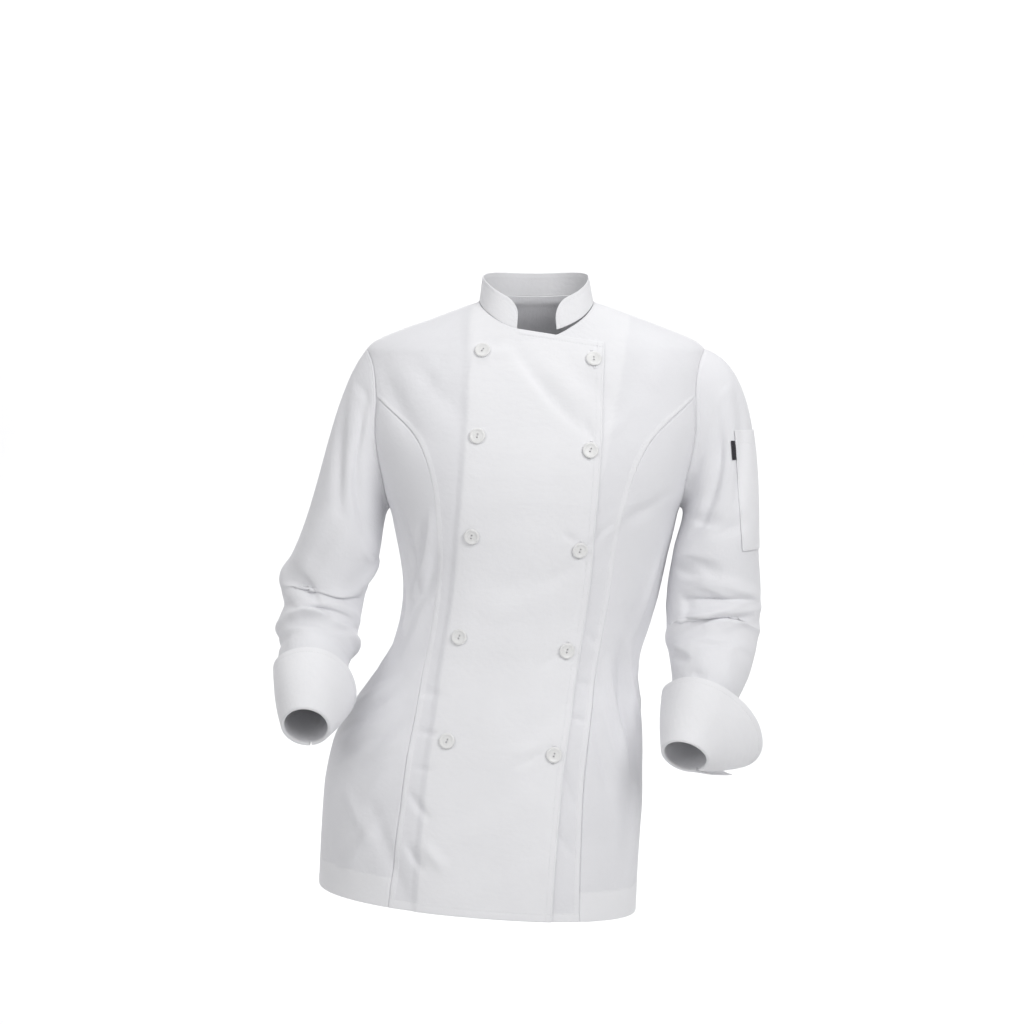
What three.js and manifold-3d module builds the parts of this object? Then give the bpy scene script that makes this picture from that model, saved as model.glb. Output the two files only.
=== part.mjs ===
// A woman's double-breasted chef jacket, in the hollow shape it has when it is worn: princess seams,
// stand collar, ten buttons, sleeves bent at the elbow, and cuffs turned back with open vents.
// Millimetres. +Z is up, the front faces -Y, and +X is the wearer's left. The origin is the middle of
// the neck opening, level with the points where the shoulder seams meet the collar.
import * as THREE from "three";
import Module from "manifold-3d";
import { mergeVertices } from "three/addons/utils/BufferGeometryUtils.js";

// Driving dimensions.
const CLOTH = 2; // thickness of a body or sleeve wall
const SEAM = 0.3; // space between two pieces at a seam
const HEM = -716; // height of the hem
const LAP_EDGE = 78; // from the centre front line to either front's edge
const LAP_LIFT = 4; // how far the right front stands out over the left one
const COLLAR_HEIGHT = { front: 33, back: 27 };
const COLLAR_CLOTH = 2.4;
const COLLAR_SEAT = 1; // how far its lower edge stands over the body's neckline
const COLLAR_END = 23.5; // from the centre front line to the collar's end
const NECK_HALF_WIDTH = 68;
const CUFF_HEIGHT = 77;
const SHOULDER_SEAM_FORWARD = 12; // how far the shoulder seam lies in front of the ridge
const ARMHOLE = { height: -152, rise: 96, ahead: 55, spine: 4 };
const BUTTON = { radius: 9.3, thick: 3.4, dish: 5.2, rim: 1.1, hole: 1.1, holeGap: 2.3, lift: 0.4 };

// Level sections of the body, from the back of the neck to the hem: the section's middle and half width,
// its reach to the front and the back of the spine line, how far its front is turned sideways, how much
// it drops for each millimetre to the wearer's left, and how square it is.
const TORSO = [
  { at: 14, centre: 0, half: 66.6, front: 30, back: 52, spine: 0, shift: 0, roll: 0, power: 2 },
  { at: 8, centre: 0, half: 67.7, front: 38, back: 55, spine: 0, shift: 0, roll: 0, power: 2 },
  { at: 0, centre: 0, half: 68, front: 44, back: 57, spine: 0, shift: 0.5, roll: 0, power: 2 },
  { at: -6, centre: 0, half: 84, front: 47, back: 60, spine: 1, shift: 0.5, roll: 0, power: 2 },
  { at: -20, centre: 0, half: 122, front: 54, back: 67, spine: 2, shift: 1, roll: 0, power: 2 },
  { at: -32, centre: -1, half: 155, front: 60, back: 74, spine: 3, shift: 1, roll: 0, power: 2 },
  { at: -42, centre: -1, half: 180, front: 66, back: 79, spine: 4, shift: 1.5, roll: 0, power: 2.02 },
  { at: -50, centre: -1, half: 195, front: 71, back: 83, spine: 5, shift: 1.5, roll: 0, power: 2.06 },
  { at: -60, centre: -1, half: 203, front: 77, back: 89, spine: 5, shift: 1.5, roll: 0, power: 2.12 },
  { at: -90, centre: -1, half: 207, front: 93, back: 100, spine: 5, shift: 0, roll: 0, power: 2.25 },
  { at: -120, centre: 0, half: 208, front: 105, back: 106, spine: 5, shift: -2, roll: 0, power: 2.3 },
  { at: -150, centre: 0, half: 206, front: 114, back: 109, spine: 5, shift: -3, roll: 0, power: 2.35 },
  { at: -180, centre: 0, half: 198, front: 121, back: 110, spine: 5, shift: -5, roll: 0, power: 2.35 },
  { at: -209, centre: 0, half: 187, front: 124, back: 109, spine: 5, shift: -7, roll: 0, power: 2.35 },
  { at: -233, centre: 0, half: 179, front: 123, back: 106, spine: 4, shift: -9, roll: 0, power: 2.3 },
  { at: -250, centre: -1, half: 172, front: 121, back: 103, spine: 4, shift: -10, roll: 0, power: 2.3 },
  { at: -275, centre: -1, half: 166, front: 117, back: 99, spine: 3, shift: -12, roll: 0, power: 2.25 },
  { at: -310, centre: -2, half: 158, front: 111, back: 94, spine: 3, shift: -14, roll: 0.008, power: 2.25 },
  { at: -345, centre: -5, half: 153, front: 106, back: 91, spine: 2, shift: -15, roll: 0.015, power: 2.2 },
  { at: -380, centre: -12, half: 150, front: 103, back: 90, spine: 2, shift: -13, roll: 0.024, power: 2.2 },
  { at: -415, centre: -23, half: 149, front: 103, back: 94, spine: 1, shift: -7, roll: 0.033, power: 2.2 },
  { at: -445, centre: -33, half: 154, front: 106, back: 101, spine: 1, shift: -1, roll: 0.04, power: 2.2 },
  { at: -475, centre: -41, half: 166, front: 109, back: 108, spine: 0, shift: 4, roll: 0.044, power: 2.2 },
  { at: -505, centre: -51, half: 178, front: 113, back: 114, spine: 0, shift: 10, roll: 0.047, power: 2.2 },
  { at: -540, centre: -59, half: 186, front: 118, back: 119, spine: 0, shift: 13, roll: 0.052, power: 2.2 },
  { at: -600, centre: -65, half: 191, front: 124, back: 121, spine: 0, shift: 13, roll: 0.062, power: 2.2 },
  { at: -660, centre: -69, half: 191, front: 127, back: 120, spine: 0, shift: 12, roll: 0.071, power: 2.2 },
  { at: -725, centre: -72, half: 191, front: 128, back: 119, spine: 0, shift: 11, roll: 0.078, power: 2.2 },
];

// The princess seam's distance from the centre line, from the armhole to the hem.
const PRINCESS = [
  { at: -112, off: 186 },
  { at: -128, off: 169 },
  { at: -140, off: 156 },
  { at: -153, off: 143.5 },
  { at: -166, off: 134 },
  { at: -192, off: 122 },
  { at: -220, off: 114 },
  { at: -264, off: 106.5 },
  { at: -300, off: 103.5 },
  { at: -354, off: 101.5 },
  { at: -407, off: 100.5 },
  { at: -508, off: 103 },
  { at: -577, off: 105 },
  { at: -652, off: 108.5 },
  { at: -730, off: 112 },
];

// The upper edge of each front between the collar's ends and the overlap's corner.
const TOP_EDGE = {
  right: { collarEnd: -34, corner: -50.5 },
  left: { collarEnd: -40, corner: -64 },
};

// Folds of the body: each runs between two places given as degrees round from the centre front and
// height. Width is how far it spreads to either side. A negative height is a trough.
const BODY_FOLDS = [
  { from: [3, -62], to: [30, -150], width: 12, height: -2.4 }, // neck to the second left button
  { from: [-62, -70], to: [-34, -165], width: 15, height: -2.2 }, // right shoulder to the chest
  { from: [-30, -58], to: [-38, -105], width: 9, height: -1.8 },
  { from: [-74, -262], to: [-62, -395], width: 9, height: 4 }, // underarm, right
  { from: [-62, -250], to: [-53, -345], width: 8, height: -3.5 },
  { from: [-78, -420], to: [-46, -350], width: 12, height: 3 },
  { from: [-88, -500], to: [-44, -440], width: 11, height: 4.2 }, // right hip
  { from: [-86, -530], to: [-42, -480], width: 8, height: -3.4 },
  { from: [-80, -570], to: [-38, -520], width: 10, height: 3.2 },
  { from: [-44, -600], to: [-27, -700], width: 9, height: -3.4 },
  { from: [-60, -590], to: [-44, -640], width: 9, height: 2.6 },
  { from: [47, -420], to: [56, -540], width: 8, height: 4.6 }, // left waist, fanning down
  { from: [62, -395], to: [74, -500], width: 8, height: 4 },
  { from: [53, -440], to: [64, -570], width: 8, height: -4 },
  { from: [72, -290], to: [66, -380], width: 9, height: 3.4 },
  { from: [38, -255], to: [60, -230], width: 9, height: -2.6 },
  { from: [70, -560], to: [62, -690], width: 13, height: 3.6 },
  { from: [112, -330], to: [128, -470], width: 12, height: 4.4 }, // back, left side
  { from: [150, -370], to: [110, -420], width: 12, height: -3.4 },
  { from: [170, -395], to: [122, -455], width: 13, height: 3.6 },
  { from: [-112, -340], to: [-130, -455], width: 12, height: 4.2 }, // back, right side
  { from: [-160, -380], to: [-112, -440], width: 12, height: -3.4 },
  { from: [-172, -420], to: [-118, -500], width: 14, height: 3.6 },
  { from: [-150, -110], to: [-120, -210], width: 15, height: 2.6 },
  { from: [150, -110], to: [120, -215], width: 15, height: 2.6 },
];
const BODY_MM_PER_DEGREE = 2.6;

// Each arm's centre line and half sizes across and fore and aft, from just under the armhole to the
// fold at the cuff, and how the sleeve's head leaves the shoulder.
const ARMS = {
  right: {
    side: -1,
    head: { out: 118, down: 140 },
    under: { out: 34, down: 12 },
    stations: [
      { x: -237, y: -2, z: -296, across: 49, deep: 59 },
      { x: -255, y: 0, z: -345, across: 49.5, deep: 56 },
      { x: -260, y: -20, z: -388, across: 47, deep: 52 },
      { x: -262.5, y: -52, z: -419, across: 43, deep: 47 },
      { x: -264, y: -79, z: -441, across: 40, deep: 43 },
      { x: -266.5, y: -132, z: -489, across: 24.5, deep: 30 },
    ],
    vent: { at: 262, gap: 16, outside: { tilt: 17, reach: 60 }, inside: { tilt: 34, reach: 90 } },
  },
  left: {
    side: 1,
    head: { out: 218, down: 64 },
    under: { out: 30, down: 8 },
    stations: [
      { x: 215, y: -12, z: -300, across: 51, deep: 57 },
      { x: 213, y: -6, z: -350, across: 56, deep: 57 },
      { x: 211, y: -16, z: -392, across: 55, deep: 54 },
      { x: 207, y: -44, z: -426, across: 49, deep: 48 },
      { x: 198.5, y: -74, z: -456, across: 40, deep: 43 },
      { x: 172, y: -128, z: -524, across: 24.5, deep: 30 },
    ],
    vent: { at: 310, gap: 14, outside: { tilt: 55, reach: 100 }, inside: { tilt: 80, reach: 60 } },
  },
};

// Folds of each sleeve, between two places given as degrees round the arm (0 outside, 90 front,
// 180 inside, 270 back) and share of the way from the armhole to the cuff. Slip draws the cloth along
// the arm, so that a ridge hangs over the cloth below it.
const SLEEVE_FOLDS = {
  right: [
    { from: [20, 0.12], to: [78, 0.3], width: 12, height: -5 }, // sleeve head
    { from: [60, 0.05], to: [128, 0.3], width: 11, height: -4 },
    { from: [-20, 0.56], to: [60, 0.66], width: 13, height: -9, slip: -2 }, // outer elbow hollow
    { from: [-30, 0.47], to: [40, 0.5], width: 13, height: 7, slip: 3 },
    { from: [70, 0.58], to: [150, 0.5], width: 10, height: 5, slip: 3 },
    { from: [60, 0.67], to: [175, 0.66], width: 9, height: 6, slip: 4 },
    { from: [-60, 0.72], to: [110, 0.74], width: 9, height: 8, slip: 6 }, // fold above the cuff
    { from: [110, 0.74], to: [215, 0.75], width: 9, height: 8, slip: 5 },
    { from: [175, 0.4], to: [140, 0.49], width: 10, height: 6, slip: 2 },
    { from: [200, 0.5], to: [300, 0.52], width: 12, height: 5 },
    { from: [215, 0.62], to: [320, 0.6], width: 12, height: -6 },
  ],
  left: [
    { from: [25, 0.12], to: [70, 0.3], width: 12, height: -4 },
    { from: [70, 0.08], to: [130, 0.3], width: 11, height: -5 },
    { from: [95, 0.33], to: [55, 0.34], width: 9, height: -4 },
    { from: [130, 0.42], to: [85, 0.45], width: 9, height: -4.5, slip: 1 },
    { from: [85, 0.46], to: [35, 0.52], width: 10, height: 6, slip: 2 },
    { from: [130, 0.55], to: [55, 0.53], width: 9, height: -6 },
    { from: [170, 0.63], to: [20, 0.54], width: 9, height: 8, slip: 3 }, // main elbow ridge
    { from: [100, 0.62], to: [40, 0.58], width: 7, height: -5 },
    { from: [95, 0.66], to: [10, 0.6], width: 9, height: 6, slip: 3 },
    { from: [170, 0.67], to: [30, 0.68], width: 9, height: -5.5 },
    { from: [150, 0.72], to: [60, 0.72], width: 9, height: 4 },
    { from: [200, 0.56], to: [300, 0.6], width: 12, height: 5 },
    { from: [210, 0.66], to: [320, 0.7], width: 12, height: -5 },
  ],
};
const SLEEVE_MM_PER_DEGREE = 0.95;
const SLEEVE_MM_OVERALL = 520;
const HEAD_SHARE = 0.42; // of a sleeve's length, from the armhole to the first station

// Buttons on the overlap, as seen from the front: how far across and how high.
const BUTTONS = [
  { row: 1, right: { x: -63, z: -60 }, left: { x: 66, z: -70 } },
  { row: 2, right: { x: -68.5, z: -158 }, left: { x: 61, z: -174 } },
  { row: 3, right: { x: -75, z: -273 }, left: { x: 49, z: -289 } },
  { row: 4, right: { x: -89.5, z: -392 }, left: { x: 34, z: -408 } },
  { row: 5, right: { x: -104, z: -512 }, left: { x: 19, z: -528 } },
];

// The pen pocket on the left sleeve and the plain dark tab at its front edge: their heights, how far
// out the pocket's front edge runs and how far back its back edge.
const POCKET = { top: -153, bottom: -294, frontTop: 232.5, frontBottom: 241.5, back: 36, cloth: 1.4 };
const TAB = { top: -165, bottom: -187, width: 6.5, cloth: 1.2 };

const COLOURS = { cloth: 0xf0f0f4, button: 0xf2f2f0, tab: 0x3c3a40 };

const lerp = (a, b, t) => a + (b - a) * t;
const clamp = (v, low, high) => Math.min(high, Math.max(low, v));
const rad = THREE.MathUtils.degToRad;
const ease = (low, high, v) => {
  const t = clamp((v - low) / (high - low), 0, 1);
  return t * t * (3 - 2 * t);
};

// A function that gives one column of a table at any place, on a smooth curve that doesn't overshoot.
function column(table, key) {
  const rows = [...table].sort((a, b) => a.at - b.at);
  const x = rows.map((r) => r.at);
  const y = rows.map((r) => r[key]);
  const rise = x.slice(1).map((v, i) => (y[i + 1] - y[i]) / (v - x[i]));
  const slope = x.map((_, i) => {
    if (i === 0) return rise[0];
    if (i === x.length - 1) return rise[i - 1];
    return rise[i - 1] * rise[i] <= 0 ? 0 : (2 * rise[i - 1] * rise[i]) / (rise[i - 1] + rise[i]);
  });
  return (at) => {
    const v = clamp(at, x[0], x[x.length - 1]);
    let i = 0;
    while (i < x.length - 2 && v > x[i + 1]) i++;
    const h = x[i + 1] - x[i];
    const t = (v - x[i]) / h;
    const keep = (1 + 2 * t) * (1 - t) ** 2 * y[i] + t * t * (3 - 2 * t) * y[i + 1];
    return keep + t * (1 - t) ** 2 * h * slope[i] - t * t * (1 - t) * h * slope[i + 1];
  };
}

const columnsOf = (table) =>
  Object.fromEntries(Object.keys(table[0]).filter((k) => k !== "at").map((k) => [k, column(table, k)]));
const torso = columnsOf(TORSO);
const princessOff = column(PRINCESS, "off");

// How far a surface is raised by a table of folds at a place given in the folds' own two measures.
function raised(folds, along, up, perAlong, perUp) {
  let height = 0;
  let slip = 0;
  for (const fold of folds) {
    const [a0, u0, a1, u1] = [...fold.from, ...fold.to];
    const turn = perAlong === SLEEVE_MM_PER_DEGREE ? Math.round((along - (a0 + a1) / 2) / 360) * 360 : 0;
    const dx = (a1 - a0) * perAlong;
    const dy = (u1 - u0) * perUp;
    const px = (along - turn - a0) * perAlong;
    const py = (up - u0) * perUp;
    const t = clamp((px * dx + py * dy) / (dx * dx + dy * dy), 0, 1);
    const away = Math.hypot(px - t * dx, py - t * dy) / fold.width;
    const share = Math.exp(-away * away) * (0.45 + 0.55 * Math.sin(Math.PI * t));
    height += fold.height * share;
    slip += (fold.slip ?? 0) * share;
  }
  return { height, slip };
}

// A point of the body's smooth shape. Angle is from the centre front, positive to the wearer's left.
function bodyShape(angle, height) {
  const power = 2 / torso.power(height);
  const across = Math.sign(Math.sin(angle)) * Math.abs(Math.sin(angle)) ** power;
  const ahead = Math.sign(Math.cos(angle)) * Math.abs(Math.cos(angle)) ** power;
  const reach = ahead > 0 ? torso.front(height) : torso.back(height);
  const off = torso.half(height) * across + torso.shift(height) * ahead;
  return new THREE.Vector3(
    torso.centre(height) + off,
    torso.spine(height) - reach * ahead,
    height - torso.roll(height) * off,
  );
}

// The direction that faces out of a surface given as a function of two values.
function facing(surface, u, v, du, dv) {
  const alongU = surface(u + du, v).sub(surface(u - du, v));
  const alongV = surface(u, v + dv).sub(surface(u, v - dv));
  return alongU.cross(alongV).normalize();
}

// A place on the body's cloth: its point, moved out by lift, and the direction that faces out.
function onBody(angle, height, lift = 0) {
  const normal = facing(bodyShape, angle, height, rad(0.4), 0.5);
  const degrees = THREE.MathUtils.radToDeg(Math.atan2(Math.sin(angle), Math.cos(angle)));
  const fold = raised(BODY_FOLDS, degrees, height, BODY_MM_PER_DEGREE, 1).height;
  return { point: bodyShape(angle, height).addScaledVector(normal, fold + lift), normal };
}

// The angle of a place that is given as a distance from the centre line, on the front or the back.
function angleAcross(off, height, back = false) {
  const share = clamp(Math.abs(off) / torso.half(height), 0, 1);
  const angle = Math.asin(share ** (torso.power(height) / 2));
  return (off < 0 ? -1 : 1) * (back ? Math.PI - angle : angle);
}

// The angle, on the side given by sign, of a place that is given as a distance behind the spine line.
function angleBehind(behind, height, sign) {
  const reach = behind < 0 ? torso.front(height) : torso.back(height);
  const angle = Math.acos(clamp(Math.abs(behind) / reach, 0, 1) ** (torso.power(height) / 2));
  return sign * (behind < 0 ? angle : Math.PI - angle);
}

const offAt = (angle, height) => torso.half(height) * Math.abs(Math.sin(angle)) ** (2 / torso.power(height));

// The armhole: turn is 0 at the shoulder, 90 degrees at the front and 180 in the armpit.
function armhole(turn, sign, grow = 0) {
  const height = ARMHOLE.height + (ARMHOLE.rise + grow) * Math.cos(turn);
  const behind = ARMHOLE.spine - (ARMHOLE.ahead + grow) * Math.sin(turn) - torso.spine(height);
  return { angle: angleBehind(behind, height, sign), height };
}

// The seam between collar and body: turn is 0 at the centre front and 180 degrees at the nape.
function neckline(turn) {
  const depth = Math.cos(turn) > 0 ? 64 : 58;
  const behind = -depth * Math.cos(turn);
  const height = 0.3457 * behind - 0.00388 * behind * behind;
  const off = NECK_HALF_WIDTH * Math.sin(turn);
  return { angle: angleAcross(off, height, Math.cos(turn) < 0), height, off };
}

// Where a rising function crosses zero between two values.
function solve(low, high, f) {
  for (let i = 0; i < 40; i++) {
    const middle = (low + high) / 2;
    if (f(middle) < 0) low = middle;
    else high = middle;
  }
  return (low + high) / 2;
}

// The turns at which the neckline and an armhole are a given distance in front of the shoulder's ridge.
const neckTurnAt = (forward) =>
  solve(rad(50), rad(120), (turn) => {
    const { angle, height } = neckline(turn);
    return bodyShape(angle, height).y - torso.spine(height) + forward;
  });
const armholeTurnAt = (forward, grow) =>
  solve(rad(-60), rad(60), (turn) => {
    const height = ARMHOLE.height + (ARMHOLE.rise + grow) * Math.cos(turn);
    return (ARMHOLE.ahead + grow) * Math.sin(turn) + torso.spine(height) - ARMHOLE.spine - forward;
  });

const SEAM_HALF = SEAM / 2;
const PRINCESS_TOP = PRINCESS[0].at;
const neckTurnAtEnd = Math.asin(COLLAR_END / NECK_HALF_WIDTH);
const ARMHOLE_AT_PRINCESS = Math.acos((PRINCESS_TOP - ARMHOLE.height) / (ARMHOLE.rise + SEAM_HALF));

// The turn where the armhole meets the princess line, and that line's distance from the centre line.
const turnAtPrincess = (back) => (back ? 2 * Math.PI - ARMHOLE_AT_PRINCESS : ARMHOLE_AT_PRINCESS);
function lineOff(height, back) {
  const meeting = offAt(armhole(turnAtPrincess(back), 1, SEAM_HALF).angle, PRINCESS_TOP);
  return princessOff(height) + (meeting - princessOff(PRINCESS_TOP)) * ease(-160, PRINCESS_TOP, height);
}

// A grid of places between four edges, by transfinite interpolation. Each edge gives two measures.
function between(bottom, top, start, end, us, vs) {
  const mix = (u, v, k) => {
    const edges = (1 - v) * bottom(u)[k] + v * top(u)[k] + (1 - u) * start(v)[k] + u * end(v)[k];
    const low = (1 - u) * bottom(0)[k] + u * bottom(1)[k];
    const high = (1 - u) * top(0)[k] + u * top(1)[k];
    return edges - (1 - v) * low - v * high;
  };
  return vs.map((v) => us.map((u) => [mix(u, v, 0), mix(u, v, 1)]));
}

const steps = (low, high, count) => Array.from({ length: count + 1 }, (_, i) => lerp(low, high, i / count));
const joined = (...lists) => lists.flatMap((list, i) => (i ? list.slice(1) : list));

// One function of 0 to 1 out of several, each of which covers the span between two stops.
const piecewise = (stops, parts) => (t) => {
  let i = 0;
  while (i < parts.length - 1 && t > stops[i + 1]) i++;
  return parts[i](clamp((t - stops[i]) / (stops[i + 1] - stops[i]), 0, 1));
};

// A closed wall of cloth from grids of { point, normal } that meet at equal points.
function wall(grids, cloth) {
  const found = new Map();
  const outer = [];
  const triangles = [];
  const index = ({ point, normal }) => {
    const key = point.toArray().map((v) => Math.round(v * 500)).join();
    if (!found.has(key)) {
      found.set(key, outer.length);
      outer.push({ point, normal });
    }
    return found.get(key);
  };
  for (const grid of grids) {
    const ids = grid.map((row) => row.map(index));
    for (let r = 0; r + 1 < ids.length; r++)
      for (let c = 0; c + 1 < ids[r].length; c++) {
        const [a, b, d, e] = [ids[r][c], ids[r][c + 1], ids[r + 1][c + 1], ids[r + 1][c]];
        const short = outer[a].point.distanceTo(outer[d].point) <= outer[b].point.distanceTo(outer[e].point);
        triangles.push(...(short ? [[a, b, d], [a, d, e]] : [[a, b, e], [b, d, e]]));
      }
  }
  const kept = triangles.filter(([a, b, c]) => a !== b && b !== c && c !== a);
  const count = outer.length;
  const edges = new Set(kept.flatMap(([a, b, c]) => [`${a}_${b}`, `${b}_${c}`, `${c}_${a}`]));
  const all = [...kept, ...kept.map(([a, b, c]) => [a + count, c + count, b + count])];
  for (const edge of edges) {
    const [a, b] = edge.split("_").map(Number);
    if (!edges.has(`${b}_${a}`)) all.push([b, a, a + count], [b, a + count, b + count]);
  }
  const inner = outer.map(({ point, normal }) => point.clone().addScaledVector(normal, -cloth));
  const points = [...outer.map((o) => o.point), ...inner];
  const geometry = new THREE.BufferGeometry();
  geometry.setAttribute("position", new THREE.Float32BufferAttribute(points.flatMap((p) => p.toArray()), 3));
  geometry.setIndex(all.flat());
  return geometry;
}

const materials = Object.fromEntries(
  Object.entries(COLOURS).map(([name, color]) => [
    name,
    new THREE.MeshStandardMaterial({ color, roughness: name === "button" ? 0.45 : 0.9, metalness: 0 }),
  ]),
);
const jacket = new THREE.Group();
function add(name, geometry, material = materials.cloth) {
  const mesh = new THREE.Mesh(geometry, material);
  mesh.name = name;
  jacket.add(mesh);
  return mesh;
}

// How far the right front stands out: over the left front, fading to nothing at its princess seam
// and at its shoulder.
function rightLift(off, height) {
  return LAP_LIFT * ease(-LAP_EDGE - 22, -LAP_EDGE - 4, off) * ease(-5, -30, height);
}

const ARMHOLE_SHARE = 0.8; // of a centre panel's edge: below this it is princess line, above it armhole

// A centre panel's edge: up the princess line, then round the armhole to the shoulder.
function panelSide(sign, back, inset, forward) {
  const first = turnAtPrincess(back);
  const last = armholeTurnAt(forward, SEAM_HALF) + (back ? 2 * Math.PI : 0);
  return piecewise([0, ARMHOLE_SHARE, 1], [
    (t) => {
      const height = lerp(HEM, PRINCESS_TOP, t);
      return [sign * (lineOff(height, back) - inset), height];
    },
    (t) => {
      const { angle, height } = armhole(lerp(first, last, t), sign, SEAM_HALF);
      return [sign * (offAt(angle, height) - inset * (1 - t)), height];
    },
  ]);
}

// A line along the shoulder from the armhole to the collar, as angle and height.
function shoulderLine(sign, forward) {
  const neck = neckline(neckTurnAt(forward));
  const tip = armhole(armholeTurnAt(forward, SEAM_HALF), sign, SEAM_HALF);
  return (t) => {
    const height = lerp(tip.height, neck.height, t);
    return [angleBehind(-forward, height, sign), height];
  };
}
const acrossShoulder = (sign, forward) => (t) => {
  const [angle, height] = shoulderLine(sign, forward)(t);
  return [sign * offAt(angle, height), height];
};

const LOW_ROWS = 17;
const HIGH_ROWS = 4;
const SIDE_COLUMNS = 7;
const rowsUp = joined(steps(0, ARMHOLE_SHARE, LOW_ROWS), steps(ARMHOLE_SHARE, 1, HIGH_ROWS));
const SHOULDER_STEPS = 6;

// One front, from its princess seam across the centre line to its own edge.
function frontPanel(side, sign, liftAt) {
  const top = TOP_EDGE[side];
  const edge = -sign * LAP_EDGE;
  const forward = SHOULDER_SEAM_FORWARD + SEAM_HALF;
  const neckTurn = neckTurnAt(forward);
  const drop = top.collarEnd - neckline(neckTurnAtEnd).height;
  const stops = [0, 0.4, 0.6, 1];
  const topEdge = piecewise(stops, [
    acrossShoulder(sign, forward),
    (t) => {
      const place = neckline(lerp(neckTurn, neckTurnAtEnd, t));
      return [sign * place.off, place.height + drop * t * t];
    },
    (t) => [lerp(sign * COLLAR_END, edge, t), lerp(top.collarEnd, top.corner, t)],
  ]);
  const start = panelSide(sign, false, SEAM_HALF, forward);
  const bend = -140;
  const end = piecewise([0, ARMHOLE_SHARE, 1], [
    (t) => [edge, lerp(HEM, bend, t)],
    (t) => [edge, lerp(bend, top.corner, t)],
  ]);
  const hem = (u) => [lerp(start(0)[0], edge, u), HEM];
  const us = joined(steps(0, 0.4, SHOULDER_STEPS), steps(0.4, 0.6, 6), steps(0.6, 1, 7));
  const places = between(hem, topEdge, start, end, us, rowsUp);
  return places.map((row) => {
    const grid = row.map(([off, height]) => onBody(angleAcross(off, height), height, liftAt(off, height)));
    return sign < 0 ? grid : grid.reverse();
  });
}

// The part of the body between a princess line and the side seam.
function sidePart(sign, back, inset) {
  const first = turnAtPrincess(back);
  const lineAngle = (height) => angleAcross(sign * (lineOff(height, back) + inset), height, back);
  const seamAngle = (height) => angleBehind(back ? SEAM_HALF : -SEAM_HALF, height, sign);
  const arm = (t) => {
    const { angle, height } = armhole(lerp(first, Math.PI, t), sign, SEAM_HALF);
    const atLine = lerp(lineAngle(PRINCESS_TOP), angle, ease(0, 0.15, t));
    return [lerp(atLine, seamAngle(height), ease(0.8, 1, t)), height];
  };
  const bottom = (u) => [lerp(lineAngle(HEM), seamAngle(HEM), u), HEM];
  const start = (v) => {
    const height = lerp(HEM, PRINCESS_TOP, v);
    return [lineAngle(height), height];
  };
  const end = (v) => {
    const height = lerp(HEM, arm(1)[1], v);
    return [seamAngle(height), height];
  };
  const places = between(bottom, arm, start, end, steps(0, 1, SIDE_COLUMNS), steps(0, 1, LOW_ROWS));
  return places.map((row) => {
    const grid = row.map(([angle, height]) => onBody(angle, height));
    return sign > 0 !== back ? grid : grid.reverse();
  });
}

// The back between its two shaping lines, up to the ridges of the shoulders and the nape.
function centreBack() {
  const neckTurn = neckTurnAt(0);
  const right = acrossShoulder(-1, 0);
  const top = piecewise([0, 0.36, 0.64, 1], [
    acrossShoulder(1, 0),
    (t) => {
      const place = neckline(lerp(neckTurn, 2 * Math.PI - neckTurn, t));
      return [place.off, place.height];
    },
    (t) => right(1 - t),
  ]);
  const start = panelSide(1, true, 0, 0);
  const end = panelSide(-1, true, 0, 0);
  const hem = (u) => [lerp(start(0)[0], end(0)[0], u), HEM];
  const third = SHOULDER_STEPS;
  const us = joined(steps(0, 0.36, third), steps(0.36, 0.64, 10), steps(0.64, 1, third));
  const places = between(hem, top, start, end, us, rowsUp);
  return places.map((row) => row.map(([off, height]) => onBody(angleAcross(off, height, true), height)));
}

// The part of the back that comes over a shoulder's ridge to the seam in front of it.
function overShoulder(sign) {
  return [0, SHOULDER_SEAM_FORWARD - SEAM_HALF].map((forward) => {
    const line = shoulderLine(sign, forward);
    const row = steps(0, 1, SHOULDER_STEPS).map((t) => onBody(...line(t)));
    return sign > 0 ? row : row.reverse();
  });
}

const none = () => 0;
add("front_right", wall([frontPanel("right", -1, rightLift)], CLOTH));
add("front_left", wall([frontPanel("left", 1, none)], CLOTH));
add("side_front_right", wall([sidePart(-1, false, SEAM_HALF)], CLOTH));
add("side_front_left", wall([sidePart(1, false, SEAM_HALF)], CLOTH));
const backGrids = [centreBack(), sidePart(1, true, 0), sidePart(-1, true, 0)];
add("back", wall([...backGrids, overShoulder(1), overShoulder(-1)], CLOTH));

// The collar: a band that stands on the neckline, with the upper corners of its ends rounded.
function collar() {
  const last = 2 * Math.PI - neckTurnAtEnd;
  const turns = steps(0, 1, 26).map((t) => lerp(neckTurnAtEnd, last, t - 0.035 * Math.sin(2 * Math.PI * t)));
  const corner = { radius: 17, share: 0.55 };
  const rows = steps(0, 1, 4);
  const place = (turn, share) => {
    const { angle, height, off } = neckline(turn);
    const ahead = Math.max(0, Math.cos(turn));
    const lift = off < 0 && Math.cos(turn) > 0 ? rightLift(off, height) : 0;
    const seat = onBody(angle, height, lift);
    const outward = new THREE.Vector3(Math.sin(turn) * 1, -Math.cos(turn), 0).normalize();
    const fromEnd = Math.min(turn, 2 * Math.PI - turn) - neckTurnAtEnd;
    const near = clamp(1 - (fromEnd * 62) / corner.radius, 0, 1);
    const tall = lerp(COLLAR_HEIGHT.back, COLLAR_HEIGHT.front, ahead) * (1 - corner.share * (1 - Math.sqrt(1 - near * near)));
    const rise = COLLAR_SEAT + share * tall;
    const lean = lerp(-0.16, -0.2, ahead);
    const point = seat.point.clone().addScaledVector(outward, rise * lean);
    point.z += rise;
    return point;
  };
  return rows.map((share) =>
    turns.map((turn) => {
      const normal = facing(place, turn, share, rad(0.5), 0.01);
      return { point: place(turn, share), normal };
    }),
  );
}
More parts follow.
